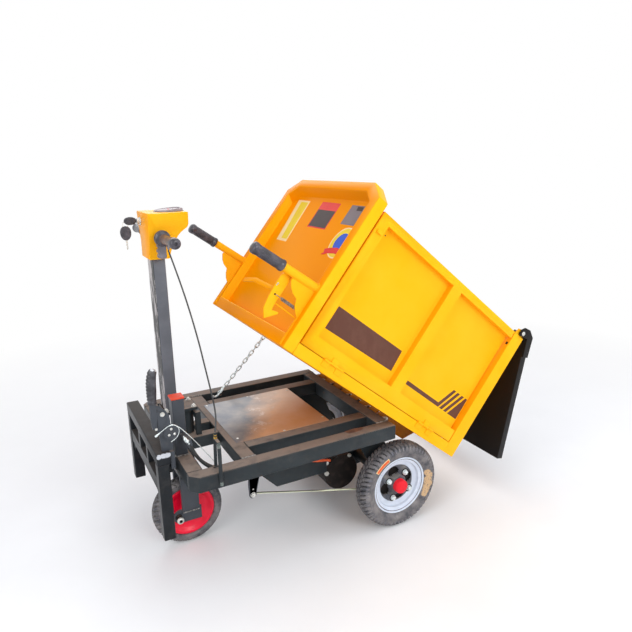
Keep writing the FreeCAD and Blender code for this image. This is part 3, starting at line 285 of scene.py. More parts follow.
def mouldedRubber(name, look):
    # Moulded rubber or soft plastic: matt, with a bloom of dust in patches and pale spots where given: dried mud
    # where it has lain on a tyre, a painted highlight over scuffing on a grip.
    made, tree = newMaterial(name)
    place = addNode(tree, "TexCoord")["Object"]
    clouds = addNode(tree, "TexNoise", {
        "Vector": place, "Scale": metre / look["patch"], "Detail": 5.0, "Roughness": 0.6})
    bloom = addNode(tree, "MapRange", {0: clouds[0], 1: look["low"], 2: look["high"]})
    tone = addNode(tree, "Mix", {"data_type": "RGBA", 0: bloom[0], 6: look["base"], 7: look["dust"]})[2]
    if "mudAndHighlight" in look:
        # pale spots broken into bits 6 mm wide: mud flaking off on a tyre, a painted highlight on the hand brake's
        # grip
        flakes = addNode(tree, "TexNoise", {"Vector": place, "Scale": metre / 6, "Detail": 5.0,
                                            "Roughness": 0.7})
        kept = addNode(tree, "MapRange", {0: flakes[0], 1: 0.36, 2: 0.46})
        lain = raggedSpots(tree, place, look["paleSpots"], 9)
        mudAndHighlight = addNode(tree, "Math", {"operation": "MULTIPLY", 0: lain, 1: kept[0]})
        tone = addNode(tree, "Mix", {"data_type": "RGBA", 0: mudAndHighlight[0], 6: tone, 7: look["mudAndHighlight"]})[2]
    grain = addNode(tree, "TexNoise", {
        "Vector": place, "Scale": metre / look["grain"], "Detail": 3.0, "Roughness": 0.55})
    bumps = addNode(tree, "Bump", {"Strength": 1.0, "Distance": look["grainDepth"] * mm, "Height": grain[0]})
    surface = addNode(tree, "BsdfPrincipled", {
        "Base Color": tone, "Roughness": look["rough"], "Specular IOR Level": look["specular"],
        "Normal": bumps[0]})
    addNode(tree, "OutputMaterial", {0: surface[0]})
    return made


def flatVinyl(name, look):
    # Printed vinyl film: an even colour, satin, slightly scuffed.
    made, tree = newMaterial(name)
    place = addNode(tree, "TexCoord")["Object"]
    drawnOut = addNode(tree, "Mapping", {"Vector": place, "Scale": (1, 1, 0.5)})
    clouds = addNode(tree, "TexNoise", {
        "Vector": drawnOut[0], "Scale": metre / 30, "Detail": 7.0, "Roughness": 0.65})
    scuff = addNode(tree, "MapRange", {0: clouds[0], 1: 0.45, 2: 0.8})
    tone = addNode(tree, "Mix", {"data_type": "RGBA", 0: scuff[0], 6: look["base"], 7: look["scuff"]})[2]
    grain = addNode(tree, "TexNoise", {"Vector": place, "Scale": metre / 8, "Detail": 2.0, "Roughness": 0.55})
    bumps = addNode(tree, "Bump", {"Strength": 1.0, "Distance": 0.02 * mm, "Height": grain[0]})
    surface = addNode(tree, "BsdfPrincipled", {
        "Base Color": tone, "Roughness": look["rough"], "Specular IOR Level": 0.1, "Normal": bumps[0]})
    addNode(tree, "OutputMaterial", {0: surface[0]})
    return made


def rolledSheet(name, look):
    # Unpainted hot-rolled sheet left in the rain: blue-grey mill scale at one end, thin orange rust
    # spreading from the other, with pale water marks where the two meet.
    made, tree = newMaterial(name)
    place = addNode(tree, "TexCoord")["Object"]
    split = addNode(tree, "SeparateXYZ", {0: place})
    # the rust's edge runs askew over the sheet and wanders by up to look["reach"]
    across = addNode(tree, "Math", {
        "operation": "MULTIPLY_ADD", 0: split["Y"], 1: -look["skew"], 2: split["X"]})
    drift = addNode(tree, "TexNoise", {
        "Vector": place, "Scale": metre / look["wander"], "Detail": 5.0, "Roughness": 0.6})
    wander = addNode(tree, "Math", {
        "operation": "MULTIPLY_ADD", 0: drift[0], 1: look["reach"] * mm, 2: across[0]})
    rust = addNode(tree, "MapRange", {0: wander[0], 1: look["start"] * mm, 2: look["end"] * mm})
    tones = []
    for size, low, bare, dusty in ((70, 0.35, look["scale"], look["scaleDust"]),
                                   (90, 0.3, look["rust"], look["rustPale"])):
        clouds = addNode(tree, "TexNoise", {
            "Vector": place, "Scale": metre / size, "Detail": 6.0, "Roughness": 0.6})
        share = addNode(tree, "MapRange", {0: clouds[0], 1: low, 2: 0.7})
        tones.append(addNode(tree, "Mix", {"data_type": "RGBA", 0: share[0], 6: bare, 7: dusty})[2])
    tone = addNode(tree, "Mix", {"data_type": "RGBA", 0: rust[0], 6: tones[0], 7: tones[1]})[2]
    # water marks only where the rust is neither thin nor full
    splashes = addNode(tree, "TexNoise", {"Vector": place, "Scale": metre / 60, "Detail": 8.0,
                                          "Roughness": 0.75})
    marks = addNode(tree, "MapRange", {0: splashes[0], 1: 0.56, 2: 0.62})
    rise = addNode(tree, "MapRange", {0: rust[0], 1: 0.08, 2: 0.22})
    fall = addNode(tree, "MapRange", {0: rust[0], 1: 0.92, 2: 0.78})
    edge = addNode(tree, "Math", {"operation": "MULTIPLY", 0: rise[0], 1: fall[0]})
    wet = addNode(tree, "Math", {"operation": "MULTIPLY", 0: marks[0], 1: edge[0]})
    share = addNode(tree, "Math", {"operation": "MULTIPLY", 0: wet[0], 1: 0.45})
    tone = addNode(tree, "Mix", {"data_type": "RGBA", 0: share[0], 6: tone, 7: look["water"]})[2]
    grain = addNode(tree, "TexNoise", {"Vector": place, "Scale": metre / 5, "Detail": 3.0, "Roughness": 0.55})
    bumps = addNode(tree, "Bump", {"Strength": 1.0, "Distance": 0.04 * mm, "Height": grain[0]})
    surface = addNode(tree, "BsdfPrincipled", {
        "Base Color": tone, "Metallic": 0.35, "Roughness": 0.36, "Normal": bumps[0]})
    addNode(tree, "OutputMaterial", {0: surface[0]})
    return made


def chassisSpot(x, y, z, reach):
    # chassis drawing to the frame's axes, both in millimetres
    return x + railStart / mm, y, z, reach


# the shade colour of these enamels is a painted shade, a deeper orange on faces turned towards the operator
yellowEnamel = sprayedEnamel("yellowEnamel", {
    "base": "#FFBD21", "tint": "#FFB714", "patch": 160, "dust": "#C9A560", "dustSize": 60, "dustLow": 0.5,
    "dustHigh": 0.85, "dustMost": 0.15, "mark": "#B07A20", "markSize": 30, "markLow": 0.76, "markMost": 0.4,
    "shade": "#F9A008", "rough": 0.38, "peel": 5, "peelDepth": 0.04, "specular": 0.04})
# painted shade: the bed's yellow made a dark brownish orange for the hinge parts under the bed, with dust and a
# dark film as well
hingeShadeEnamel = sprayedEnamel("hingeShadeEnamel", {
    "base": "#C07A22", "tint": "#A8661A", "patch": 60, "dust": "#7A5A3A", "dustSize": 30, "dustLow": 0.3,
    "dustHigh": 0.7, "dustMost": 0.6, "mark": "#5A3414", "markSize": 18, "markLow": 0.66, "markMost": 0.6,
    "film": "#7A4618", "filmMost": 0.8, "rough": 0.5, "peel": 5, "peelDepth": 0.04, "specular": 0.1})
# the front wall's copy of the bed's yellow, with a deeper painted shade on faces turned towards the operator
wallEnamel = sprayedEnamel("wallEnamel", {
    "base": "#FFC021", "tint": "#FFB910", "patch": 160, "dust": "#C9A560", "dustSize": 60, "dustLow": 0.5,
    "dustHigh": 0.85, "dustMost": 0.12, "mark": "#B07A20", "markSize": 30, "markLow": 0.76, "markMost": 0.3,
    "shade": "#F39200", "rough": 0.3, "peel": 6, "peelDepth": 0.03, "specular": 0.03})
orangeEnamel = sprayedEnamel("orangeEnamel", {
    "base": "#FDBB22", "tint": "#FCB216", "patch": 120, "dust": "#E8B07A", "dustSize": 50, "dustLow": 0.45,
    "dustHigh": 0.8, "dustMost": 0.2, "mark": "#A86A20", "markSize": 24, "markLow": 0.76, "markMost": 0.3,
    "shade": "#FFA91A", "rough": 0.34, "peel": 5, "peelDepth": 0.04, "specular": 0.05})
blackLook = {
    "base": "#31373A", "tint": "#2A2F32", "patch": 90, "dust": "#85776D", "dustSize": 45, "dustLow": 0.1,
    "dustHigh": 0.5, "dustMost": 0.94, "mark": "#8F8C88", "markSize": 14, "markLow": 0.72, "markMost": 0.4,
    "film": "#5F5A55", "filmMost": 0.2, "rough": 0.36, "peel": 4, "peelDepth": 0.04, "specular": 0.16}
blackEnamel = sprayedEnamel("blackEnamel", blackLook)
bumperEnamel = sprayedEnamel("bumperEnamel", dict(
    blackLook, base="#222529", tint="#1C1F22", dust="#423E3C",
    bare=[chassisSpot(-52, -231, 476, 9), chassisSpot(-38, -231, 476, 9), chassisSpot(-66, -231, 475, 8)],
    bareRough=10, bareTone="#C4C8CE"))
# painted shade: the column's face turned towards the operator is near-black; the pale scrape streaks on it are
# wear
columnEnamel = sprayedEnamel("columnEnamel", dict(
    blackLook, base="#6A6D74", tint="#5E6167", underScrapes="#19191C", scraped="#B4AEAE", scrapedSize=46,
    film="#7C7A7E"))
plateEnamel = sprayedEnamel("plateEnamel", dict(blackLook, base="#4B4F55", tint="#44484E", dustMost=0.5))
wornSheet = rolledSheet("wornSheet", {
    "skew": 0.55, "wander": 110, "reach": 170, "start": -270, "end": -150, "scale": "#5A5E67",
    "scaleDust": "#807C79", "rust": "#CC9E74", "rustPale": "#D2AE90", "water": "#D8CFC8"})
zincPlate = platedSteel("zincPlate", {
    "base": "#D9DAD6", "oxide": "#A9A69E", "spot": 12, "low": 0.4, "high": 0.75, "metal": 0.55, "dull": 0.25,
    "rough": 0.3, "grain": 2, "grainDepth": 0.03})
galvanised = platedSteel("galvanised", {
    "base": "#E4ECEC", "oxide": "#8E9698", "spot": 6, "low": 0.5, "high": 0.72, "metal": 0.6, "dull": 0.2,
    "rough": 0.32, "grain": 2, "grainDepth": 0.03})
brass = platedSteel("brass", {
    "base": "#D9B25A", "oxide": "#A98438", "spot": 8, "low": 0.4, "high": 0.7, "metal": 0.9, "dull": 0.2,
    "rough": 0.3, "grain": 2, "grainDepth": 0.02})
weldMetal = platedSteel("weldMetal", {
    "base": "#A7A4A0", "oxide": "#4A4744", "spot": 7, "low": 0.35, "high": 0.65, "metal": 0.5, "dull": 0.25,
    "rough": 0.4, "grain": 2, "grainDepth": 0.08})
rodPaint = sprayedEnamel("rodPaint", {
    "base": "#D9DEC0", "tint": "#C9CFAE", "patch": 30, "dust": "#B0A890", "dustSize": 20, "dustLow": 0.4,
    "dustHigh": 0.8, "dustMost": 0.3, "mark": "#8A8468", "markSize": 12, "markLow": 0.7, "markMost": 0.4,
    "rough": 0.35, "peel": 3, "peelDepth": 0.02})
gripLook = {
    "base": "#29282D", "dust": "#4D4A52", "patch": 25, "low": 0.4, "high": 0.75, "rough": 0.3,
    "specular": 0.5, "grain": 2, "grainDepth": 0.04}
gripRubber = mouldedRubber("gripRubber", dict(gripLook, base="#302F35", dust="#5A565F"))
dustyRubber = mouldedRubber("dustyRubber", dict(gripLook, dust="#7A5748", low=0.25, high=0.6, patch=40))
# painted highlight: pale bluish spots at the top of the hand brake's grip, over scuffed rubber
leverRubber = mouldedRubber("leverRubber", dict(
    gripLook, base="#28282D", dust="#57575D", mudAndHighlight="#D5D8DC",
    paleSpots=[chassisSpot(-60, -226, 762, 7), chassisSpot(-52, -226, 758, 5)]))
tyreLookPaint = {
    "base": "#44454B", "dust": "#85807F", "patch": 34, "low": 0.35, "high": 0.7, "rough": 0.55,
    "specular": 0.4, "grain": 3, "grainDepth": 0.1}
tyreRubber = mouldedRubber("tyreRubber", tyreLookPaint)
# mud on the right rear tyre's side wall: x and z from the wheel's middle, reach
paleSpots = [(124, 22, 14), (133, 8, 15), (128, -10, 17), (135, -24, 14), (125, -32, 17), (120, -50, 15),
            (112, -64, 12)]
caked = {"mudAndHighlight": "#C9A77E",
         "paleSpots": [chassisSpot(791 + x, -332, 168 + z, reach) for x, z, reach in paleSpots]}
muddyRubber = mouldedRubber("muddyRubber", dict(tyreLookPaint, **caked))
# painted shade: near-black rubber for the rear tyres' groove floors, where the grooves are in shade
grooveShadeRubber = mouldedRubber("grooveShadeRubber", dict(tyreLookPaint, **caked, base="#1C1C1E", dust="#3A3633"))
packedRubber = mouldedRubber("packedRubber", dict(tyreLookPaint, base="#8E8A86", dust="#5A5653", patch=20))
# painted sheen: the side wall ribs' crowns in a lighter bluish grey, for the sheen they catch
ribRubber = mouldedRubber("ribRubber", dict(
    tyreLookPaint, **caked, base="#5C5D68", dust="#86807D", patch=26, rough=0.45))
discEnamel = sprayedEnamel("discEnamel", dict(
    blackLook, base="#64666C", tint="#54565B", patch=30, film="#8A8580", filmMost=0.5, dust="#85807A"))
perchPlastic = mouldedRubber("perchPlastic", dict(gripLook, base="#68656C", dust="#827E86"))
cableSheath = mouldedRubber("cableSheath", dict(gripLook, base="#232526", dust="#3E403F", rough=0.38))
hosePlastic = mouldedRubber("hosePlastic", dict(gripLook, base="#4A5450", dust="#7C8681", rough=0.45))
redEnamel = sprayedEnamel("redEnamel", {
    "base": "#F5103A", "tint": "#E80C33", "patch": 40, "dust": "#C98080", "dustSize": 20, "dustLow": 0.5,
    "dustHigh": 0.9, "dustMost": 0.2, "mark": "#7A2030", "markSize": 12, "markLow": 0.76, "markMost": 0.4,
    "rough": 0.3, "peel": 4, "peelDepth": 0.03, "specular": 0.35})
capPlastic = flatVinyl("capPlastic", {"base": "#E82A36", "scuff": "#DE222C", "rough": 0.4})
postCapPlastic = flatVinyl("postCapPlastic", {"base": "#E5533B", "scuff": "#D8452F", "rough": 0.45})
silverEnamel = sprayedEnamel("silverEnamel", {
    "base": "#DCE4F0", "tint": "#CFD8E6", "patch": 40, "dust": "#B0A8A0", "dustSize": 30, "dustLow": 0.4,
    "dustHigh": 0.8, "dustMost": 0.25, "mark": "#80786E", "markSize": 12, "markLow": 0.74, "markMost": 0.3,
    "rough": 0.34, "peel": 4, "peelDepth": 0.04})
gateEnamel = sprayedEnamel("gateEnamel", {
    "base": "#120E0C", "tint": "#0D0A09", "patch": 90, "dust": "#4A4541", "dustSize": 60, "dustLow": 0.4,
    "dustHigh": 0.8, "dustMost": 0.4, "mark": "#8F8C88", "markSize": 10, "markLow": 0.79, "markMost": 0.5,
    "rough": 0.45, "peel": 4, "peelDepth": 0.04, "specular": 0.25})
motorEnamel = sprayedEnamel("motorEnamel", dict(
    blackLook, base="#26211F", tint="#1D1A19", dust="#5C4A42", dustMost=0.8, film="#4A3E38", filmMost=0.6,
    rough=0.5))
brownVinyl = flatVinyl("brownVinyl", {"base": "#644338", "scuff": "#6E4C40", "rough": 0.45})
orangeVinyl = flatVinyl("orangeVinyl", {"base": "#E8673E", "scuff": "#D9583A", "rough": 0.45})
creamVinyl = flatVinyl("creamVinyl", {"base": "#F4D9A0", "scuff": "#EFC98A", "rough": 0.4})
labelYellow = flatVinyl("labelYellow", {"base": "#E8C81E", "scuff": "#DDB916", "rough": 0.4})
labelRed = flatVinyl("labelRed", {"base": "#DC2010", "scuff": "#CF1C10", "rough": 0.35})
labelBlack = flatVinyl("labelBlack", {"base": "#2A1614", "scuff": "#35201C", "rough": 0.35})
labelGrey = flatVinyl("labelGrey", {"base": "#75696C", "scuff": "#6A5F63", "rough": 0.35})
labelBlue = flatVinyl("labelBlue", {"base": "#1C4FC4", "scuff": "#1A48B4", "rough": 0.35})
dialPlastic = flatVinyl("dialPlastic", {"base": "#A3999D", "scuff": "#7C7376", "rough": 0.35})
dialWhite = flatVinyl("dialWhite", {"base": "#B9AFB1", "scuff": "#A79C9F", "rough": 0.45})
print("materials ready")

# Surfaces: every part is (points in millimetres, arrays of faces).

def gridFaces(rows, columns, ring=False):
    # four-sided faces between neighbours of a rows by columns grid whose last column meets its first;
    # ring joins the last row to the first as well
    r = np.arange(rows if ring else rows - 1)[:, None]
    c = np.arange(columns)[None, :]
    nextR, nextC = (r + 1) % rows, (c + 1) % columns
    corners4 = [r * columns + c, r * columns + nextC, nextR * columns + nextC, nextR * columns + c]
    return np.stack(corners4, -1).reshape(-1, 4)


def eased(points, steps):
    # quadratic B-spline through a run of points, ends kept: each stretch is
    # half (1-t)² of the first, a half + t(1-t) of the second and half t² of the third
    points = np.asarray(points, float)
    full = np.concatenate([points[:1], points, points[-1:]])
    t = (np.arange(steps) / steps)[None, :, None]
    a, b, c = full[:-2, None], full[1:-1, None], full[2:, None]
    run = 0.5 * (1 - t) ** 2 * a + (0.5 + t * (1 - t)) * b + 0.5 * t ** 2 * c
    return np.concatenate([run.reshape(-1, points.shape[1]), points[-1:]])


def crossAxes(axis):
    # two directions square to an axis; for a wheel's axis they are the frame's x and z
    axis = np.asarray(axis, float) / np.linalg.norm(axis)
    first = np.array([1.0, 0, 0]) if abs(axis[0]) < 0.9 else np.array([0, 1.0, 0])
    first = first - axis * (first @ axis)
    first /= np.linalg.norm(first)
    second = np.cross(axis, first)
    return axis, first, second if second[2] >= 0 else -second


def turned(profile, centre, axis, sides=28, shape=None, ring=False, begin=0.0):
    # surface of revolution: centre + axis·along + radius·(first·cos a + second·sin a);
    # shape may change radius and along from (radius, along, angle)
    profile = np.asarray(profile, float)
    axis, first, second = crossAxes(axis)
    angle = begin + np.arange(sides) * 2 * np.pi / sides
    radius, a = np.meshgrid(profile[:, 0], angle, indexing="ij")
    along = np.broadcast_to(profile[:, 1:2], radius.shape)
    if shape:
        radius, along = shape(radius, along, a)
    around = first * np.cos(a)[..., None] + second * np.sin(a)[..., None]
    points = np.asarray(centre, float) + axis * along[..., None] + around * radius[..., None]
    return points.reshape(-1, 3), [gridFaces(len(profile), sides, ring)]


def circle(radius, sides=10):
    angle = np.arange(sides) * 2 * np.pi / sides
    return np.stack([np.cos(angle), np.sin(angle)], -1) * radius


def swept(path, section, up=(0, 0, 1), ring=False):
    # a section carried along a path: place + side·u + rise·v, side and rise square to the way ahead
    path, section = np.asarray(path, float), np.asarray(section, float)
    ahead = np.roll(path, -1, 0) - np.roll(path, 1, 0) if ring else np.gradient(path, axis=0)
    ahead /= np.linalg.norm(ahead, axis=1, keepdims=True)
    side = np.cross(ahead, np.asarray(up, float))
    side /= np.linalg.norm(side, axis=1, keepdims=True)
    rise = np.cross(side, ahead)
    section = np.broadcast_to(section, (len(path), *section.shape[-2:]))
    points = path[:, None] + side[:, None] * section[..., :1] + rise[:, None] * section[..., 1:]
    rows, columns = points.shape[:2]
    faces = [gridFaces(rows, columns, ring)]
    if not ring:
        end = np.arange(columns)[None]
        faces += [end, end + (rows - 1) * columns]
    return points.reshape(-1, 3), faces


def slab(outline, low, high, across="y"):
    # a flat outline given thickness along one axis
    outline = np.asarray(outline, float)
    count = len(outline)
    order = {"x": (2, 0, 1), "y": (0, 2, 1), "z": (0, 1, 2)}[across]
    levels = [np.column_stack([outline, np.full(count, level)]) for level in (low, high)]
    end = np.arange(count)[None]
    return np.concatenate(levels)[:, order], [gridFaces(2, count), end, end + count]


def bolt(centre, axis, across=13.0, tall=6.0, washer=0.0, stud=0.0):
    # washer, six-sided head with its corners turned down, and the end of the thread
    r = across / math.sqrt(3)
    parts = [turned([(0, 0), (r, 0), (r, tall - 1.2), (r * 0.87, tall), (0, tall)], centre, axis, 6)]
    if washer:
        parts.append(turned([(0, 0), (washer, 0), (washer, 1.3), (0, 1.3)], centre, axis, 20))
    if stud:
        parts.append(turned([(0, 0), (stud, 0), (stud, tall + 2.5), (stud - 1, tall + 3.5), (0, tall + 3.5)],
                            centre, axis, 12))
    return parts


def dome(centre, axis, radius, tall):
    # rivet or button head: a flattened half-sphere
    angle = np.linspace(0, np.pi / 2, 6)
    profile = np.stack([np.cos(angle) * radius, np.sin(angle) * tall], -1)
    return turned(np.concatenate([[(0, 0)], profile]), centre, axis, 16)


def weldBead(start, end, size=2.6, pitch=4.0, up=(0, 0, 1)):
    # a round run laid in a corner, swelling once a pitch
    start, end = np.asarray(start, float), np.asarray(end, float)
    length = np.linalg.norm(end - start)
    t = np.linspace(0, 1, max(6, int(length / pitch * 5)))[:, None]
    wave = np.sin(t * length / pitch * 2 * np.pi) * 0.22 + np.sin(t * 23.0) * 0.12
    return swept(start + (end - start) * t, circle(size, 8)[None] * (1 + wave)[..., None], up)


def acrossY(parts):
    # the same parts on the vehicle's other side
    return [(np.asarray(part[0]) * [1, -1, 1], *part[1:]) for part in parts]


def makePiece(name, parts, finish, body, place=onChassis, edge=0.0, sharp=32, replaced=()):
    # one mesh from several parts; a third item in a part is the number of its finish;
    # body is None for a piece that rides on no body
    finishes = finish if isinstance(finish, (list, tuple)) else [finish]
    points, faces, numbers, start = [], [], [], 0
    for part in parts:
        for block in part[1]:
            faces.extend((np.atleast_2d(block) + start).tolist())
            numbers += [part[2] if len(part) > 2 else 0] * len(block)
        points.append(np.asarray(part[0], float).reshape(-1, 3))
        start += len(points[-1])
    mesh = bpy.data.meshes.new(name)
    mesh.from_pydata(place(np.concatenate(points)).tolist(), [], faces)
    mesh.polygons.foreach_set("material_index", numbers)
    shape = bmesh.new()
    shape.from_mesh(mesh)
    bmesh.ops.remove_doubles(shape, verts=shape.verts, dist=1e-6)
    bmesh.ops.recalc_face_normals(shape, faces=shape.faces)
    shape.to_mesh(mesh)
    shape.free()
    for material in finishes:
        mesh.materials.append(material)
    mesh.shade_smooth()
    piece = bpy.data.objects.new(name, mesh)
    bpy.context.scene.collection.objects.link(piece)
    if edge:
        addBevel(piece, edge, sharp)
    else:
        mesh.set_sharp_from_angle(angle=math.radians(sharp))
    if body:
        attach(piece, body)
    if replaced:
        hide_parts(*replaced)
    return piece


def addBevel(piece, width, limit):
    edge = piece.modifiers.new("edge", "BEVEL")
    edge.width = width * mm
    edge.segments = 2
    edge.limit_method = "ANGLE"
    edge.angle_limit = math.radians(limit)
    edge.harden_normals = True


def middle(node):
    low, high = chassisBox(node)
    return (low + high) / 2


# The frame's own shapes with their edges rounded.

def softened(node, material, width, body, limit=32):
    # A merged copy of the CAD shape whose sharp edges get a small radius, as bent and dressed steel has.
    shape = bmesh.new()
    shape.from_mesh(frame["nodes"][node].data)
    bmesh.ops.remove_doubles(shape, verts=shape.verts, dist=2e-5)
    bmesh.ops.dissolve_limit(shape, angle_limit=math.radians(0.6), verts=shape.verts, edges=shape.edges)
    mesh = bpy.data.meshes.new(node + "_soft")
    shape.to_mesh(mesh)
    shape.free()
    mesh.materials.clear()
    mesh.materials.append(material)
    mesh.shade_smooth()
    piece = bpy.data.objects.new(node + "_soft", mesh)
    bpy.context.scene.collection.objects.link(piece)
    addBevel(piece, width, limit)
    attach(piece, body)
    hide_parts(node)


bodyOf = {node: name for name, nodes in frame["record"]["behaviour"]["bodies"].items() for node in nodes}
softLook = {
    # node: (material, edge radius in millimetres)
    "side_rail_left": (blackEnamel, 2.5), "side_rail_right": (blackEnamel, 2.5),
    "front_cross_member": (blackEnamel, 2.5), "rear_cross_member": (blackEnamel, 2.5),
    "battery_cross_member": (blackEnamel, 2.5), "inner_rails": (blackEnamel, 2.5),
    "centre_beams": (blackEnamel, 2.0), "steering_head": (blackEnamel, 1.0),
    "bumper_top_beam": (bumperEnamel, 2.5), "bumper_legs": (bumperEnamel, 2.0),
    "bumper_lower_beam": (bumperEnamel, 1.5), "latch_post": (plateEnamel, 2.0),
    "battery_box": (blackEnamel, 2.0), "axle_brackets": (blackEnamel, 1.0),
    "steering_stem": (blackEnamel, 1.5),
    "fork_legs": (plateEnamel, 1.2), "handle_column": (columnEnamel, 2.0), "relay_lever": (blackEnamel, 0.6),
    "parking_brake_bracket": (plateEnamel, 0.8), "control_head": (orangeEnamel, 4.0),
    "battery_cover": (wornSheet, 0.5), "bed_floor": (yellowEnamel, 1.5), "bed_front_panel": (wallEnamel, 3.0),
    "rear_posts": (yellowEnamel, 2.5), "side_gate_left": (yellowEnamel, 2.0),
    "side_gate_right": (yellowEnamel, 2.0), "hinge_arms": (hingeShadeEnamel, 1.0),
    "push_handles": (yellowEnamel, 1.0), "latch_lever": (yellowEnamel, 1.2),
    "tailgate": (gateEnamel, 1.2), "motor": (motorEnamel, 2.0), "cable_stop": (blackEnamel, 0.8),
}
plainLook = {
    "rear_axle": blackEnamel, "bed_hinge_rod": zincPlate, "tipping_chain": zincPlate, "front_axle": zincPlate,
    "handlebar": blackEnamel, "key_switch": zincPlate, "brake_cable": cableSheath, "gauge": dialPlastic,
    "bar_grip_left": gripRubber, "throttle_grip": gripRubber, "brake_lever": gripRubber,
    "handle_grips": gripRubber, "parking_brake_lever": gripRubber, "front_tyre": tyreRubber,
    "front_rim": redEnamel,
    "rear_tyre_left": tyreRubber, "rear_tyre_right": tyreRubber, "rear_rim_left": silverEnamel,
    "rear_rim_right": silverEnamel,
}
for node, (material, width) in softLook.items():
    softened(node, material, width, bodyOf[node])
for node, material in plainLook.items():
    data = frame["nodes"][node].data
    data.materials.clear()
    data.materials.append(material)
print("carried-over shapes ready")


# Tyres.

pneumaticLook = {
    # (radius, half width) from the bead to the middle of the tread
    "profile": [(104, 22), (111, 22.5), (116, 26), (121, 27), (123, 30.5), (132, 34), (143, 35), (154, 33.4),
                (161, 29.8), (165.5, 24), (168, 14), (168, 0)],
    "rows": 101, "blocks": 58, "perBlock": 8, "tread": 157, "shoulder": 12, "gap": 0.27, "lean": 0.45,
    "depth": 6.0, "waveAt": 6.5, "wave": 3.0, "waveHalf": 1.8, "ribs": (143, 160, 1.8)}
solidLook = {
    "profile": [(95.5, 21), (97, 26), (101, 28), (112, 28), (119, 26.5), (124, 22.5), (127.6, 15),
                (127.6, 0)],
    "rows": 61, "blocks": 40, "perBlock": 8, "tread": 113, "shoulder": 3.5, "gap": 0.3, "lean": 0.9,
    "depth": 6.5, "waveAt": 0.0, "wave": 2.5, "waveHalf": 2.0, "ribs": None}


def tyrePart(look, centre, side):
    # torus of profile × angle: grooves are sunk in the tread's radius, ribs raised on the shoulder's side;
    # groove floors take the second finish and the ribs' crowns the third. On the rear tyres the groove floors are
    # near-black, a painted shade, and the ribs' crowns are a lighter bluish grey, a painted sheen.
    marks = {}
    half = eased(look["profile"], 5)
    whole = np.concatenate([half, half[-2::-1] * [1, -1]])
    run = np.concatenate([[0], np.cumsum(np.linalg.norm(np.diff(whole, axis=0), axis=1))])
    at = np.linspace(0, run[-1], look["rows"])
    profile = np.stack([np.interp(at, run, whole[:, 0]), np.interp(at, run, whole[:, 1])], -1)

    def grooved(radius, along, angle):
        turns = angle * look["blocks"] / (2 * np.pi)
        phase = (turns + look["lean"] * np.abs(along) / look["profile"][0][1]) % 1
        reach = np.abs(along)
        across = (phase < look["gap"]) & (reach > look["shoulder"]) & (radius > look["tread"])
        swing = look["waveAt"] + look["wave"] * (np.abs(turns % 1 - 0.5) * 4 - 1)
        zigzag = (np.abs(reach - swing) < look["waveHalf"]) & (radius > look["tread"])
        sunk = radius - look["depth"] * (across | zigzag)
        if look["ribs"]:
            low, high, tall = look["ribs"]
            band = np.clip((radius - low) / 2.5, 0, 1) * np.clip((high - radius) / 2.5, 0, 1)
            along = along + np.sign(along) * (tall * band * ((phase > look["gap"]) - 1.0))
            marks["rib"] = ((phase > look["gap"] + 0.25) & (band > 0.4)).ravel()
        marks["deep"] = (across | zigzag).ravel()
        return sunk, along

    points, (faces,) = turned(profile, centre, (0, side, 0), look["blocks"] * look["perBlock"], grooved,
                              ring=True)
    deep = marks["deep"][faces].mean(1) > 0.6
    rib = marks["rib"][faces].mean(1) > 0.6 if look["ribs"] else np.zeros(len(faces), bool)
    return [(points, [faces[~deep & ~rib]], 0), (points, [faces[deep]], 1), (points, [faces[rib & ~deep]], 2)]


rearRight, rearLeft, frontWheel = middle("rear_tyre_right"), middle("rear_tyre_left"), middle("front_tyre")
for name, look, centre, side, finish, floor in (
        ("rear_tyre_right", pneumaticLook, rearRight, -1, muddyRubber, grooveShadeRubber),
        ("rear_tyre_left", pneumaticLook, rearLeft, 1, tyreRubber, grooveShadeRubber),
        ("front_tyre", solidLook, frontWheel, 1, tyreRubber, packedRubber)):
    makePiece(name + "_tread", tyrePart(look, centre, side), [finish, floor, ribRubber], bodyOf[name],
              sharp=40, replaced=[name])

tagLook = {"from": 114.0, "to": 142.5, "low": 126.5, "high": 143.5, "border": 2.4}


def sidewallPatch(look, centre, side, lift, shrink):
    # a strip of the side wall between two radii and two angles, lifted off the rubber
    half = eased(pneumaticLook["profile"], 5)
    rim = look["border"] * shrink
    radius = np.linspace(look["low"] + rim, look["high"] - rim, 6)
    turn = math.degrees(rim / look["low"])
    angle = np.radians(np.linspace(look["from"] + turn, look["to"] - turn, 24))
    along = np.interp(radius, half[:, 0], half[:, 1])
    layers = []
    for out in (lift - 0.4, lift):
        r, a = np.meshgrid(radius, angle, indexing="ij")
        layers.append(np.stack([np.cos(a) * r, np.full(r.shape, side) * (along[:, None] + out),
                                np.sin(a) * r], -1))
    n, m = len(radius), len(angle)
    loop = np.concatenate([np.arange(m), np.arange(1, n) * m + m - 1, (n - 1) * m + np.arange(m - 2, -1, -1),
                           np.arange(n - 2, 0, -1) * m])
    r, c = np.arange(n - 1)[:, None] * m, np.arange(m - 1)[None]
    flat = np.stack([r + c, r + c + 1, r + m + c + 1, r + m + c], -1).reshape(-1, 4)
    wall = np.stack([loop, np.roll(loop, -1), np.roll(loop, -1) + n * m, loop + n * m], -1)
    return np.concatenate([layer.reshape(-1, 3) for layer in layers]) + centre, [flat, flat + n * m, wall]


tagEdge = sidewallPatch(tagLook, rearRight, -1, 0.5, 0)
tagFace = sidewallPatch(tagLook, rearRight, -1, 0.7, 1)
makePiece("tyre_tag", [tagEdge, (*tagFace, 1)], [creamVinyl, orangeVinyl], "rear_wheel_right")
print("tyres ready")


# Rear rims: silver well and lip, black hub disc with four openings, nuts and a red cap.

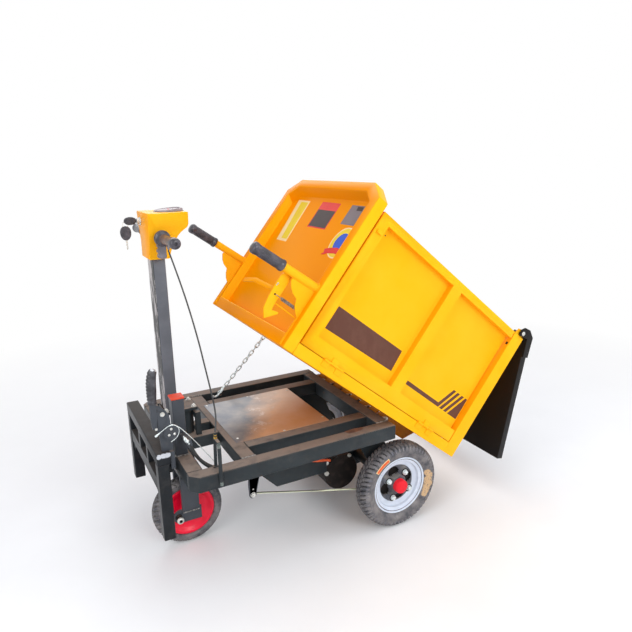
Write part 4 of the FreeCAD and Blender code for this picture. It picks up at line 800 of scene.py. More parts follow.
rimLook = {
    "lip": [(113, 20), (113, 24.6), (111.6, 26), (109.2, 26), (107.6, 25), (106.6, 22), (103.4, 19.2),
            (101.4, 18.6), (100.8, 17.2), (96.5, 16.2), (94.4, 14.8), (93.2, 11), (92.4, 6), (89.5, 3.6),
            (82, 2.4), (76, 2.0), (74, 1), (74, -3), (90, -4), (92.5, -9), (101, -14), (105.5, -19),
            (106.5, -26), (113, -26), (113, -22.5), (104, -22), (103.8, -13), (97, -9), (97, 9), (103.8, 13),
            (104, 22)],
    "boltCircle": 53, "firstBolt": 60, "discOuter": 75.5, "discInner": 14, "flange": 18, "lobe": 15,
    "pocketAt": 53, "pocketHalf": (18.5, 24), "pocketDepth": 9, "seatBack": -7,
    "cap": [(0, -3), (26.5, -3), (26.5, 36), (25.4, 39.6), (22, 41.4), (14, 42), (0, 42.2)],
    "nutRing": [(0, -0.6), (15, -0.6), (15, 0.7), (0, 0.7)],
    "drum": [(30, -7), (30, -37), (13, -37), (13, -7)]}


def hubDisc(look, centre, side):
    # height over radius and angle: a raised flange round each nut, sunk ellipses between them
    bolt0, quarter = math.radians(look["firstBolt"]), np.pi / 2
    radius = np.concatenate([[look["discInner"]], np.linspace(look["discInner"], look["discOuter"], 34),
                             [look["discOuter"]]])
    height = np.full(len(radius), 1.0)
    height[[0, -1]] = look["seatBack"]
    profile = np.stack([radius, height], -1)

    def pressed(r, along, angle):
        toBolt = (angle - bolt0 + quarter / 2) % quarter - quarter / 2
        toGap = (angle - bolt0) % quarter - quarter / 2
        fromBolt = np.hypot(r * np.sin(toBolt), (r - look["boltCircle"]) * 0.8)
        lobe = np.clip((look["lobe"] - fromBolt) / 4 + 0.5, 0, 1)
        lobe = np.maximum(lobe, np.clip((40 - r) / 4, 0, 1))
        spoke = np.clip((look["lobe"] - 5 - np.abs(r * np.sin(toBolt))) / 4, 0, 1)
        lobe = np.maximum(lobe, spoke * (r < look["boltCircle"]))
        pocket = np.hypot((r - look["pocketAt"]) / look["pocketHalf"][0], r * toGap / look["pocketHalf"][1])
        sunk = np.clip((1.06 - pocket) / 0.12, 0, 1)
        face = along > look["seatBack"] + 1
        return r, np.where(face, along + look["flange"] * lobe * (1 - sunk) - look["pocketDepth"] * sunk,
                           along)

    points, (faces,) = turned(profile, centre, (0, side, 0), 180, pressed, ring=True)
    # faces at the bottom of an opening take the second finish, near-black: a painted shade
    local = (points[faces].mean(1) - centre) * [1, side, 1]
    fromAxis = np.hypot(local[:, 0], local[:, 2])
    deep = (local[:, 1] < -1.5) & (local[:, 1] > look["seatBack"] - 2.5) & (fromAxis > 34) & (fromAxis < 72)
    return [(points, [faces[~deep]], 0), (points, [faces[deep]], 1)]


def rearRim(node, centre, side, look):
    body = bodyOf[node]
    out = (0, side, 0)
    makePiece(node + "_well", [turned(look["lip"], centre, out, 96, ring=True)], silverEnamel, body,
              replaced=[node])
    drum = turned(look["drum"], centre, out, 40, ring=True)
    # the openings' floors take gateEnamel's near-black as a painted shade
    makePiece(node + "_disc", hubDisc(look, centre, side) + [drum], [discEnamel, gateEnamel], body, sharp=28)
    makePiece(node + "_cap", [turned(look["cap"], centre, out, 48)], capPlastic, body, sharp=50)
    nuts = []
    for number in range(4):
        angle = math.radians(look["firstBolt"] + 90 * number)
        place = np.asarray(centre) + [look["boltCircle"] * math.cos(angle), side * (look["flange"] + 0.8),
                                      look["boltCircle"] * math.sin(angle)]
        nuts += bolt(place, out, 17, 9, 10.5, 5.5)
        nuts.append((*turned(look["nutRing"], place, out, 28), 1))
    makePiece(node + "_nuts", nuts, [galvanised, gateEnamel], body, edge=0.5)


rearRim("rear_rim_right", rearRight, -1, rimLook)
rearRim("rear_rim_left", rearLeft, 1, rimLook)
print("rear wheels ready")


# Front rim: pressed red dishes and hub in one turned shell.

frontRimLook = {
    "dish": [(10.3, 37.5), (22, 37.5), (23.6, 36), (24, 30), (27, 16), (31, 12.5), (44, 10.5), (60, 10),
             (70, 11.5), (78, 15.5), (83, 20.5), (87, 22.6), (91.5, 23.2), (94.5, 22.4), (96, 20), (96, 0)]}
dish = np.array(frontRimLook["dish"])
bothDishes = np.concatenate([dish, dish[-2::-1] * [1, -1]])
makePiece("front_rim_dish", [turned(bothDishes, frontWheel, (0, 1, 0), 96, ring=True)], redEnamel,
          "front_wheel", sharp=38, replaced=["front_rim"])
print("front wheel ready")


# Fork: weld runs on the plates, the axle's dark shanks and bright heads.

forkLook = {
    "plateTop": 153.6, "plateOut": 48.0, "legOut": 60.0, "legFrom": 32.5, "legTo": 94.5,
    "bolt": (19.0, 0, 127.6),
    # (radius, distance out from the vehicle's middle)
    "shank": [(0, 40), (7.2, 40), (7.2, 70), (0, 70)],
    "collar": [(0, 47.5), (12, 47.5), (12, 49.5), (9.5, 50), (9.5, 58), (0, 58)],
    "head": [(0, 68.5), (11.5, 68.5), (12.6, 70), (12.6, 74.5), (11, 77), (6, 78), (0, 78)]}
outRight, upwards = (0, -1, 0), (0, 0, 1)
plateTop, legFrom, legTo = forkLook["plateTop"], forkLook["legFrom"], forkLook["legTo"]
seams = []
for out in (forkLook["plateOut"], forkLook["legOut"]):
    seams.append(weldBead((legFrom + 1, -out, plateTop - 6), (legTo - 1, -out, plateTop - 6), 2.4))
seams.append(weldBead((legFrom - 3, -49, plateTop), (legTo + 3, -49, plateTop), 2.2))
makePiece("fork_welds", seams + acrossY(seams), weldMetal, "steering", sharp=60)
shank = [turned(forkLook[part], forkLook["bolt"], outRight, 18) for part in ("shank", "collar")]
makePiece("fork_bolt_shanks", shank + acrossY(shank), motorEnamel, "steering")
heads = [turned(forkLook["head"], forkLook["bolt"], outRight, 28)]
makePiece("fork_bolt_heads", heads + acrossY(heads), zincPlate, "steering", sharp=50)


# Latch post: cap and the weld round its foot.

postLow, postHigh = chassisBox("latch_post")
postMid = (postLow[:2] + postHigh[:2]) / 2
capHalf = (postHigh[0] - postLow[0]) / 2 + 1.5
square = np.array([(-1, -1), (1, -1), (1, 1), (-1, 1)])
makePiece("post_cap", [slab(square * capHalf + postMid, postHigh[2] - 2, postHigh[2] + 4.5, "z")],
          postCapPlastic, "chassis", edge=1.6)
foot = postLow[2] + 1.5
footCorners = square * (capHalf - 1) + postMid
beads = []                          # weld runs of the frame, made one piece further on
for first, second in zip(footCorners, np.roll(footCorners, -1, 0)):
    beads.append(weldBead((*first, foot), (*second, foot), 2.6))


# Hand brake: moulded grip, flat shaft, ratchet plates, pulley and cables.

shaftLine = [(-76, 570), (-64, 566), (-60, 600), (-60.5, 656), (-78, 656), (-78.5, 600)]
ratchetLine = [(-63, 648), (-48, 640), (-33, 623), (-22, 606), (-20, 588), (-20, 560), (-34, 541), (-52, 541),
               (-66, 566), (-70, 600)]
pawlLine = [(-60, 628), (-40, 612), (-32, 590), (-46, 570), (-60, 576)]
brakeLook = {
    # places are (x, distance from the lever's y, z), outlines are (x, z)
    "y": -222.0,
    "path": [(-69.5, 652), (-69, 662), (-67.5, 700), (-66.5, 722), (-63.5, 742), (-58.5, 757), (-55.5, 763)],
    "radius": 13.6, "ridges": 11, "ridge": 1.3, "collar": 1.8,
    "plates": [(shaftLine, -7.5, -3), (shaftLine, 3, 6.5), (ratchetLine, -3, 1.5), (pawlLine, -5.5, -3)],
    "pulley": [(0, -3), (24, -3), (24, -1), (21.5, -0.5), (21.5, 2.5), (24, 3), (24, 5), (0, 5)],
    "pulleyPlace": (-20, -2, 547), "rivets": [(-20, -7, 559), (-28, -7, 540), (-11, -7, 541)],
    # (place, across flats, height, washer)
    "bolts": [((-43, -5.5, 613), 11, 5, 7.5), ((-66, -7.5, 570), 8, 4, 0), ((-26, 18, 613), 10, 12, 7)],
    "pull": [(-66, -7, 548.5), (-56, -7, 555), (-42, -6, 562.5), (-30, -6, 570), (-20, -6, 572.3),
             (-8, -6, 570), (2.5, -6, 560), (5, -6, 547), (0, -6, 533), (-10, -6, 523), (-24, -6, 516)],
    "wire": [(-22, -1, 572.5), (-8, -1, 569), (10, -2, 554), (40, -7, 516), (70, -14, 474), (96, -22, 436),
             (118, -28, 398)], "wireRadius": 1.5,
    "wireEnd": [(0, 0), (3.6, 0), (3.6, 9), (2.2, 11), (2.2, 18), (0, 18)], "wireEndPlace": (-71, -7, 545),
    "wireEndWay": (10, 0, 6.5)}
hoseLook = {
    "line": [(22, -236, 511), (30, -238, 492), (42, -242, 464), (62, -246, 434), (92, -252, 408),
             (128, -262, 396), (166, -276, 394), (196, -290, 396)], "radius": 5.4, "second": (4, -11, -4),
    "ferrule": [(0, -2), (5.6, -2), (5.6, 10), (3, 13), (1.6, 20), (0, 20)],
    "bracket": [(18, 508), (34, 520), (38, 500), (26, 490)], "bracketFrom": -252, "bracketTo": -177}


def brakeGrip(look):
    # a bowed sleeve: its section swells once a ridge on the operator's side and closes to a round top
    line = eased(look["path"], 12)
    path = np.column_stack([line[:, 0], np.full(len(line), look["y"]), line[:, 1]])
    run = np.concatenate([[0], np.cumsum(np.linalg.norm(np.diff(line, axis=0), axis=1))])
    t = run / run[-1]
    angle = np.arange(28) * 2 * np.pi / 28
    t2, a2 = np.meshgrid(t, angle, indexing="ij")
    body = look["radius"] * (0.86 + 0.16 * np.sin(np.pi * np.clip(t2 * 1.05, 0, 1)))
    top = np.sqrt(np.clip(1 - np.clip((t2 - 0.9) / 0.1, 0, 1) ** 2, 0.0, 1))
    collar = look["collar"] * (t2 < 0.05)
    # the sweep's side direction is across the vehicle, its rise points away from the operator
    front = np.clip(-np.sin(a2), 0, 1)
    wave = np.abs(np.sin(np.pi * look["ridges"] * t2)) ** 0.7 - 0.5
    ridges = look["ridge"] * 2 * wave * front * (t2 > 0.08) * (t2 < 0.9)
    radius = (body + collar + ridges) * np.maximum(top, 0.02)
    section = np.stack([np.cos(a2) * radius * 0.92, np.sin(a2) * radius * 1.08], -1)
    return swept(path, section, (1, 0, 0.2))


def besideLever(place):
    return np.array([0, brakeLook["y"], 0]) + place


y = brakeLook["y"]
makePiece("hand_brake_grip", [brakeGrip(brakeLook)], leverRubber, "chassis", sharp=55,
          replaced=["parking_brake_lever"])
plates = [slab(outline, y + low, y + high) for outline, low, high in brakeLook["plates"]]
pulley = turned(brakeLook["pulley"], besideLever(brakeLook["pulleyPlace"]), outRight, 40)
makePiece("hand_brake_plates", plates + [pulley], plateEnamel, "chassis", edge=0.7)
pivots = [dome(besideLever(place), outRight, 4.4, 2.2) for place in brakeLook["rivets"]]
for place, across, tall, washer in brakeLook["bolts"]:
    pivots += bolt(besideLever(place), outRight, across, tall, washer)
makePiece("hand_brake_pivots", pivots, zincPlate, "chassis", edge=0.4)
wires = [swept(eased(besideLever(brakeLook[line]), 6), circle(brakeLook["wireRadius"], 8), (0, 1, 0))
         for line in ("pull", "wire")]
makePiece("brake_wires", wires, galvanised, "chassis", sharp=60)
makePiece("brake_wire_end", [turned(brakeLook["wireEnd"], besideLever(brakeLook["wireEndPlace"]),
                                    brakeLook["wireEndWay"], 14)], galvanised, "chassis")
hoseLine = eased(hoseLook["line"], 8)
hoseLines = [hoseLine, hoseLine + hoseLook["second"]]
makePiece("brake_hoses", [swept(line, circle(hoseLook["radius"], 12), (0, 1, 0)) for line in hoseLines],
          cableSheath, "chassis", sharp=60)
ferrules = []
for line in hoseLines:
    way = line[0] - line[3]
    ferrules.append(turned(hoseLook["ferrule"], line[0] - way * 0.15, way, 14))
makePiece("brake_hose_ferrules", ferrules, galvanised, "chassis")
# clip plate that holds the hoses' ends, welded to the post's side
makePiece("brake_hose_bracket", [slab(hoseLook["bracket"], hoseLook["bracketFrom"], hoseLook["bracketTo"])],
          plateEnamel, "chassis", edge=0.8)
beads.append(weldBead((20, -178.5, 512), (34, -178.5, 497), 2.2))


# Cable stop on the rail: brass adjuster, hose down the rail's outside.

stopLook = {
    "adjuster": [(0, 0), (5.2, 0), (5.2, 5), (3.4, 5.4), (3.4, 9), (4.4, 9.4), (4.4, 12.5), (2.6, 13),
                 (2.6, 19), (0, 19)], "adjusterY": -318, "adjusterZ": 538,
    "hose": [(91.5, -347.5, 536), (91.5, -349, 522), (91.5, -349.3, 490), (91.5, -349.3, 440),
             (92, -349.3, 408), (93, -348.6, 392)], "hoseRadius": 5.6,
    # (place, radius, height, sides)
    "clamps": [((91.5, -349.3, 500), 6.0, 7, 14), ((91.5, -348.3, 524), 3.0, 11, 12)]}
stopX = middle("cable_stop")[0]
adjusterFoot = (stopX, stopLook["adjusterY"], stopLook["adjusterZ"])
makePiece("cable_adjuster", [turned(stopLook["adjuster"], adjusterFoot, upwards, 12)], brass, "chassis")
stopHose = swept(eased(stopLook["hose"], 6), circle(stopLook["hoseRadius"], 12), (1, 0, 0))
makePiece("cable_stop_hose", [stopHose], hosePlastic, "chassis", sharp=60)
clamps = [turned([(0, 0), (radius, 0), (radius, tall), (0, tall)], place, upwards, sides)
          for place, radius, tall, sides in stopLook["clamps"]]
makePiece("cable_stop_clamp", clamps, galvanised, "chassis")
print("hand brake ready")


# Brake cable from the bars to its stop: one smooth free curve, steered at its top.

cablePoints = [
    (46.0, -112.0, 1098.0), (55.0, -134.0, 1050.0), (62.0, -160.0, 1004.0), (69.5, -181.0, 957.0),
    (76.0, -203.0, 908.0), (82.0, -222.0, 859.0), (87.0, -241.0, 810.0), (91.5, -256.0, 760.0),
    (96.5, -270.0, 711.0), (101.5, -281.0, 664.0), (104.5, -292.0, 624.0), (101.5, -306.0, 589.0),
    (92.0, -318.0, 560.0)]
cableRadius = 2.5


def splinePoints(points, steps=8):
    # points along the route's own NURBS curve
    data = bpy.data.curves.new("route", "CURVE")
    data.dimensions = "3D"
    data.resolution_u = steps
    spline = data.splines.new("NURBS")
    spline.points.add(len(points) - 1)
    spline.points.foreach_set("co", np.column_stack([points, np.ones(len(points))]).ravel())
    spline.order_u = 3
    spline.use_endpoint_u = True
    route = bpy.data.objects.new("route", data)
    bpy.context.scene.collection.objects.link(route)
    mesh = bpy.data.meshes.new_from_object(route)
    flat = np.empty(len(mesh.vertices) * 3, np.float32)
    mesh.vertices.foreach_get("co", flat)
    bpy.data.objects.remove(route)
    bpy.data.meshes.remove(mesh)
    return flat.reshape(-1, 3).astype(float)


def frameMillimetres(points):
    # places already given in the whole vehicle's frame
    return np.asarray(points) * mm


cableLine = splinePoints(onChassis(cablePoints))
cable = makePiece("brake_cable_run", [swept(cableLine / mm, circle(cableRadius, 12), (0, 1, 0.2))],
                  cableSheath, None, place=frameMillimetres, sharp=60, replaced=["brake_cable"])
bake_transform(cable)
print("brake cable ready")


# Chain that holds the tipped bed, with a two-pronged hook over the rail's eye.

chainLook = {
    "low": (299, 286, 424), "high": (-365, 216, 6.6), "wire": 2.5, "halfLength": 12.4, "halfWidth": 5.8,
    "hookShare": 0.09,
    # each prong is (distance aside, reach along the rail); the hook's ring is a wider link
    "prongs": [(-9, -20), (8, 4)], "prongRadius": 3.6,
    "ring": {"wire": 3.0, "halfLength": 10.5, "halfWidth": 7.0}}
chainLow = onChassis(chainLook["low"]) / mm
chainHigh = onBed(chainLook["high"]) / mm


def link(look, centre, ahead, side):
    # a stadium: two straight runs and two half turns, with a round section
    turn = np.linspace(0, np.pi, 9)
    straight = look["halfLength"] - look["halfWidth"]
    right = np.stack([np.sin(turn) * look["halfWidth"] + straight, np.cos(turn) * look["halfWidth"]], -1)
    loop = np.concatenate([right, -right])
    path = centre + ahead * loop[:, :1] + side * loop[:, 1:]
    return swept(path, circle(look["wire"], 8), np.cross(ahead, side), ring=True)


def chainParts(look, start, end):
    span = end - start
    ahead = span / np.linalg.norm(span)
    flat = np.cross(ahead, (0, 0, 1))
    flat /= np.linalg.norm(flat)
    other = np.cross(ahead, flat)
    pitch = 2 * (look["halfLength"] - look["wire"])
    count = int(np.linalg.norm(span) / pitch)
    pitch = np.linalg.norm(span) / count
    links = []
    for number in range(count):
        twist = math.radians(90 * (number % 2) + 12 * math.sin(number * 1.7))
        side = flat * math.cos(twist) + other * math.sin(twist)
        links.append(link(look, start + ahead * pitch * (number + 0.5), ahead, side))
    return links


hookTop = chainLow + (chainHigh - chainLow) * chainLook["hookShare"]
chain = makePiece("tipping_chain_links", chainParts(chainLook, hookTop, chainHigh), galvanised, None,
                  place=frameMillimetres, sharp=60, replaced=["tipping_chain"])
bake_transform(chain)
prongs = []
for aside, reach in chainLook["prongs"]:
    base = chainLow + [0, aside, 0]
    line = eased([hookTop + [-2, aside * 0.2, 1], hookTop + [-5, aside * 0.7, -8], base + [4, 0, 8],
                  base + [reach * 0.4, 0, -3], base + [reach, 0, -4], base + [reach - 5, 0, 2]], 6)
    prongs.append(swept(line, circle(chainLook["prongRadius"], 10), (0, 1, 0)))
prongs.append(link(chainLook["ring"], hookTop, np.array([0.6, 0, 0.8]), np.array([0, 1.0, 0])))
makePiece("chain_hook", prongs, galvanised, "chassis", place=frameMillimetres, sharp=60)
print("chain ready")


# Control head: gauge, lock and keys, bar grips, brake perch.

gaugeLow, gaugeHigh = chassisBox("gauge")
gaugeMid = [(gaugeLow[0] + gaugeHigh[0]) / 2, 0, gaugeLow[2]]
gaugeLook = {
    # profiles are (radius, height over the head)
    "case": [(0, 2.5), (47, 2.5), (47, 5.2), (45.6, 5.6), (45.0, 9.5), (43, 12.4), (39.4, 13), (38.2, 11.4),
             (38, 9.6), (0, 9.6)],
    "seat": [(0, 2), (48.5, 2), (48.5, 3.6), (46, 4.2), (0, 4.2)],
    "dial": [(0, 6.0), (37.6, 6.0), (37.6, 10.0), (0, 10.0)],
    "hub": [(0, 10), (4.2, 10), (4.2, 11.6), (0, 11.8)],
    "foot": 6, "leanMiddle": 0.68, "leanSwing": 0.32, "leanReach": 30,
    # marks and needle are (nearest radius, farthest radius, half width)
    "sweep": 250, "marks": 25, "longMark": (30, 35.5, 0.6), "shortMark": (32.5, 35.5, 0.35),
    "needle": (-7, 29, 0.8), "reading": -105, "inkLow": 9.9, "inkHigh": 10.2,
    "figures": ("0", "10", "20", "30"), "figureSize": 7.5, "figureRadius": 24}


def leanShare(x):
    # the case is lower on the operator's side: its height over the foot is multiplied by 0.68 + 0.32·x/30
    look = gaugeLook
    return look["leanMiddle"] + look["leanSwing"] * np.clip(x / look["leanReach"], -1, 1)


def leaned(radius, along, angle):
    foot = gaugeLook["foot"]
    return radius, np.where(along > foot, foot + (along - foot) * leanShare(radius * np.cos(angle)), along)


makePiece("gauge_case", [turned(gaugeLook["case"], gaugeMid, upwards, 72, leaned)], dialPlastic, "steering",
          sharp=30, replaced=["gauge"])
makePiece("gauge_seat", [turned(gaugeLook["seat"], gaugeMid, upwards, 64)], gripRubber, "steering", sharp=30)
makePiece("gauge_dial", [turned(gaugeLook["dial"], gaugeMid, upwards, 64, leaned)], dialWhite, "steering",
          sharp=30)


def radial(angle, nearEnd, farEnd, half):
    # a short bar that points away from the dial's middle; 0 degrees points away from the operator
    a = math.radians(angle)
    ahead, aside = np.array([math.cos(a), math.sin(a)]), np.array([-math.sin(a), math.cos(a)])
    outline = [ahead * nearEnd - aside * half, ahead * farEnd - aside * half, ahead * farEnd + aside * half,
               ahead * nearEnd + aside * half]
    low, high = gaugeMid[2] + gaugeLook["inkLow"], gaugeMid[2] + gaugeLook["inkHigh"]
    return slab(np.array(outline) + gaugeMid[:2], low, high, "z")


def figurePart(figure, angle, look):
    # a printed number on the dial, upright from the operator's side
    data = bpy.data.curves.new("figure", "FONT")
    data.body = figure
    data.size = look["figureSize"]
    data.align_x, data.align_y = "CENTER", "CENTER"
    data.extrude = 0.12
    drawn = bpy.data.objects.new("figure", data)
    bpy.context.scene.collection.objects.link(drawn)
    mesh = bpy.data.meshes.new_from_object(drawn)
    flat = np.empty(len(mesh.vertices) * 3, np.float32)
    mesh.vertices.foreach_get("co", flat)
    faces = [np.array([list(polygon.vertices)]) for polygon in mesh.polygons]
    bpy.data.objects.remove(drawn)
    bpy.data.meshes.remove(mesh)
    own = flat.reshape(-1, 3).astype(float)
    upright = np.stack([own[:, 1], -own[:, 0], own[:, 2]], -1)
    radius = look["figureRadius"]
    return upright + gaugeMid + [math.cos(angle) * radius, math.sin(angle) * radius, 10.1], faces


def lowered(parts):
    # what lies on the dial leans as the dial does
    made = []
    for part in parts:
        points = np.array(part[0], float).reshape(-1, 3)
        foot = gaugeMid[2] + gaugeLook["foot"]
        points[:, 2] = foot + (points[:, 2] - foot) * leanShare(points[:, 0] - gaugeMid[0])
        made.append((points, *part[1:]))
    return made


marks = []
for number in range(gaugeLook["marks"]):
    angle = gaugeLook["sweep"] * (0.5 - number / (gaugeLook["marks"] - 1))
    marks.append(radial(angle, *gaugeLook["shortMark" if number % 4 else "longMark"]))
for number, figure in enumerate(gaugeLook["figures"]):
    angle = math.radians(gaugeLook["sweep"] * (0.5 - number / (len(gaugeLook["figures"]) - 1)))
    marks.append(figurePart(figure, angle, gaugeLook))
makePiece("gauge_marks", lowered(marks), labelBlack, "steering")
needle = [radial(gaugeLook["reading"], *gaugeLook["needle"]), turned(gaugeLook["hub"], gaugeMid, upwards, 24)]
makePiece("gauge_needle", lowered(needle), labelRed, "steering")

lockLook = {
    "place": (-1.0, 35.0, 1180.0),
    "barrel": [(0, -2), (13.5, -2), (13.5, 2), (12, 4), (10.5, 4.6), (10.5, 12), (8, 13), (0, 13)],
    # outlines and middles are (x, z); key head and fob are (middle, half width, half height, power)
    "head": ((-33.5, 1182), 19.5, 13, 2.2), "headHalf": 4.5,
    "fob": ((-50.5, 1144), 17.5, 23, 2.3), "fobHalf": 4, "fobWaist": 1150,
    "blade": [(-53.5, 1124), (-46.5, 1124), (-46.8, 1094), (-49, 1090), (-52, 1093), (-52, 1098),
              (-50.6, 1100), (-52, 1103), (-52, 1109), (-50.8, 1112), (-53, 1115)], "bladeHalf": 1.2,
    "stub": [(-16, 1177), (-12, 1177), (-12, 1184), (-16, 1184)], "stubHalf": 1.4,
    "ring": (-50, 1171), "ringWide": 8.5, "ringTall": 9.5, "ringTwist": 2, "ringWire": 1.3}
lock = lockLook["place"]
makePiece("lock_barrel", [turned(lockLook["barrel"], lock, (-1, 0, 0), 36)], zincPlate, "steering",
          replaced=["key_switch"])


def roundedOutline(centre, halfWide, halfTall, power, count=28):
    # superellipse: |x/a|^power + |z/b|^power = 1
    angle = np.arange(count) * 2 * np.pi / count
    c, s = np.cos(angle), np.sin(angle)
    wide = np.sign(c) * np.abs(c) ** (2 / power) * halfWide
    tall = np.sign(s) * np.abs(s) ** (2 / power) * halfTall
    return np.stack([wide, tall], -1) + centre


def besideLock(outline, half):
    return slab(outline, lock[1] - half, lock[1] + half)


fob = roundedOutline(*lockLook["fob"])
fobMid = lockLook["fob"][0]
# the fob narrows away from its waist
fob[:, 0] = fobMid[0] + (fob[:, 0] - fobMid[0]) * (
    0.78 + 0.22 * np.cos((fob[:, 1] - lockLook["fobWaist"]) / lockLook["fob"][2]))
makePiece("key_heads", [besideLock(roundedOutline(*lockLook["head"]), lockLook["headHalf"]),
                        besideLock(fob, lockLook["fobHalf"])],
          gripRubber, "steering", edge=2.2, sharp=50)
turn = np.linspace(0, 2 * np.pi, 25)[:-1]
ringX, ringZ = lockLook["ring"]
keyRing = np.stack([ringX + np.cos(turn) * lockLook["ringWide"],
                    lock[1] + np.sin(turn) * lockLook["ringTwist"],
                    ringZ + np.sin(turn) * lockLook["ringTall"]], -1)
makePiece("key_blades", [besideLock(lockLook["blade"], lockLook["bladeHalf"]),
                         besideLock(lockLook["stub"], lockLook["stubHalf"]),
                         swept(keyRing, circle(lockLook["ringWire"], 8), (0, 1, 0), ring=True)],
          zincPlate, "steering", sharp=50)


def fluted(start, end, count, depth):
    # lengthwise grooves between two places along a sleeve
    def shape(radius, along, angle):
        inside = np.clip((along - start) / 2, 0, 1) * np.clip((end - along) / 2, 0, 1)
        return radius - depth * inside * (np.cos(count * angle) > 0.35), along
    return shape


def longProfile(points, fineFrom, fineTo, step):
    # adds even stations between two places along a profile
    points = np.asarray(points, float)
    added = np.arange(fineFrom, fineTo, step)
    extra = np.stack([np.interp(added, points[:, 1], points[:, 0]), added], -1)
    both = np.concatenate([points, extra])
    return both[np.argsort(both[:, 1], kind="stable")]


barLow, barHigh = chassisBox("handlebar")
barX, barZ = (barLow[0] + barHigh[0]) / 2, (barLow[2] + barHigh[2]) / 2
barLook = {
    # profiles are (radius, distance along the grip); flutes are (from, to, how many, depth)
    "throttleStart": 105.0,
    "flange": [(11.2, 0), (24.5, 0), (25, 1), (25, 5), (22, 6.2), (22, 8), (24, 8.6), (24, 13), (20, 15.5),
               (16, 20), (14.6, 26), (11.2, 26)],
    "sleeve": [(14.4, 24), (13.9, 40), (13.9, 118), (14.3, 127)], "sleeveFine": (28, 122, 1.6),
    "sleeveFlutes": (30, 121, 24, 0.7),
    "knob": [(14.2, 126), (15.6, 129), (16.8, 134), (17.2, 145), (16.8, 155), (15, 161.5), (11, 164.5),
             (5, 165), (4.2, 164), (4.2, 159), (0, 159)],
    "leftLong": 120, "pastBar": 8,
    "left": [(11.2, 0), (17.5, 0), (17.5, 4), (15, 6), (14.2, 10), (14.2, 104), (16.2, 108), (16.8, 114),
             (15, 119), (9, 120), (0, 120)], "leftFine": (12, 102, 1.6), "leftFlutes": (13, 101, 24, 0.7)}
throttlePlace = (barX, -barLook["throttleStart"], barZ)
flange = turned(barLook["flange"], throttlePlace, outRight, 56, ring=True)
sleeve = turned(longProfile(barLook["sleeve"], *barLook["sleeveFine"]), throttlePlace, outRight, 72,
                fluted(*barLook["sleeveFlutes"]))
knob = turned(barLook["knob"], throttlePlace, outRight, 56)
makePiece("throttle_sleeve", [flange, (*sleeve, 1), knob], [gripRubber, dustyRubber], "steering", sharp=40,
          replaced=["throttle_grip"])
leftStart = barHigh[1] + barLook["pastBar"] - barLook["leftLong"]
leftProfile = longProfile(barLook["left"], *barLook["leftFine"])
leftSleeve = turned(leftProfile, (barX, leftStart, barZ), (0, 1, 0), 72, fluted(*barLook["leftFlutes"]))
makePiece("left_sleeve", [leftSleeve], gripRubber, "steering", sharp=40, replaced=["bar_grip_left"])

perchLook = {
    "outline": [(21, 1126), (16.5, 1119), (14.5, 1113.5), (16, 1109), (19.5, 1105.5), (15.5, 1102),
                (13.5, 1097), (15, 1092), (18.5, 1088.5), (15, 1085), (14, 1079.5), (17, 1074.5),
                (24, 1071.6), (38, 1071.6), (42.5, 1075), (43.5, 1126)], "from": -102.5, "to": -88,
    "clamp": [(11.2, 0), (20, 0), (20, 19), (11.2, 19)], "clampY": -84,
    "cableEnd": [(0, 0), (4.2, 0), (4.2, 10), (3, 16), (0, 16)], "cableEndPlace": (46, -108, 1114),
    "cableEndWay": (0.1, -0.45, -1)}
makePiece("brake_perch", [
    slab(perchLook["outline"], perchLook["from"], perchLook["to"]),
    turned(perchLook["clamp"], (barX, perchLook["clampY"], barZ), outRight, 40, ring=True),
    turned(perchLook["cableEnd"], perchLook["cableEndPlace"], perchLook["cableEndWay"], 14)],
    perchPlastic, "steering", edge=1.6, sharp=30, replaced=["brake_lever"])

columnLook = {
    "bolts": [(17, -34, 534), (17, 34, 534), (108, -34, 534), (108, 34, 534)],
    "welds": [((9, -40.5, 535.5), (51, -40.5, 535.5)), ((9, 40.5, 535.5), (51, 40.5, 535.5)),
              ((10.5, -40, 535.5), (10.5, 40, 535.5)), ((51.5, -40, 535.5), (51.5, 40, 535.5))]}
footBolts = []
for place in columnLook["bolts"]:
    footBolts += bolt(place, upwards, 13, 6, 9, 4)
makePiece("column_foot_bolts", footBolts, zincPlate, "steering", edge=0.4)
makePiece("column_welds", [weldBead(*ends) for ends in columnLook["welds"]], motorEnamel, "steering",
          sharp=60)
print("control head ready")


# Push handles: ribbed grips; latch lever's spring, rod and bolts.

handleLook = {
    "offset": 318.0, "length": 258.0, "height": 216.0, "droop": 3.4, "front": -584.0,
    "profile": [(0, -0.2), (9, 0), (14.8, 1.6), (18.2, 5), (19.2, 10), (19.0, 16), (18.0, 20), (17.4, 24),
                (17.6, 106), (18.8, 110), (19.4, 112), (19.4, 118.5), (18.4, 120), (14.2, 120)]}
droop = math.radians(handleLook["droop"])
alongHandle = np.array([math.cos(droop), 0, math.sin(droop)])
tip = np.array([handleLook["front"] - handleLook["length"] * math.cos(droop), -handleLook["offset"],
                handleLook["height"] - handleLook["length"] * math.sin(droop)]) - alongHandle * 2


def flutedKnob(radius, along, angle):
    # lengthwise ribs on the sleeve, a fine cross pattern on the knob
    ribbed = np.clip((along - 26) / 2, 0, 1) * np.clip((106 - along) / 2, 0, 1)
    sleeveRib = ribbed * (np.cos(22 * angle) > 0.3) * 0.8
    knobRib = (along > 5) * (along < 19) * (np.cos(36 * angle) > 0) * 0.4
    return radius - sleeveRib - knobRib, along


gripProfile = longProfile(handleLook["profile"], 26, 106, 2.0)
gripPart = turned(gripProfile, tip, alongHandle, 88, flutedKnob)
makePiece("handle_grip_sleeves", [gripPart] + acrossY([gripPart]), gripRubber, "bed", place=onBed, sharp=40,
          replaced=["handle_grips"])

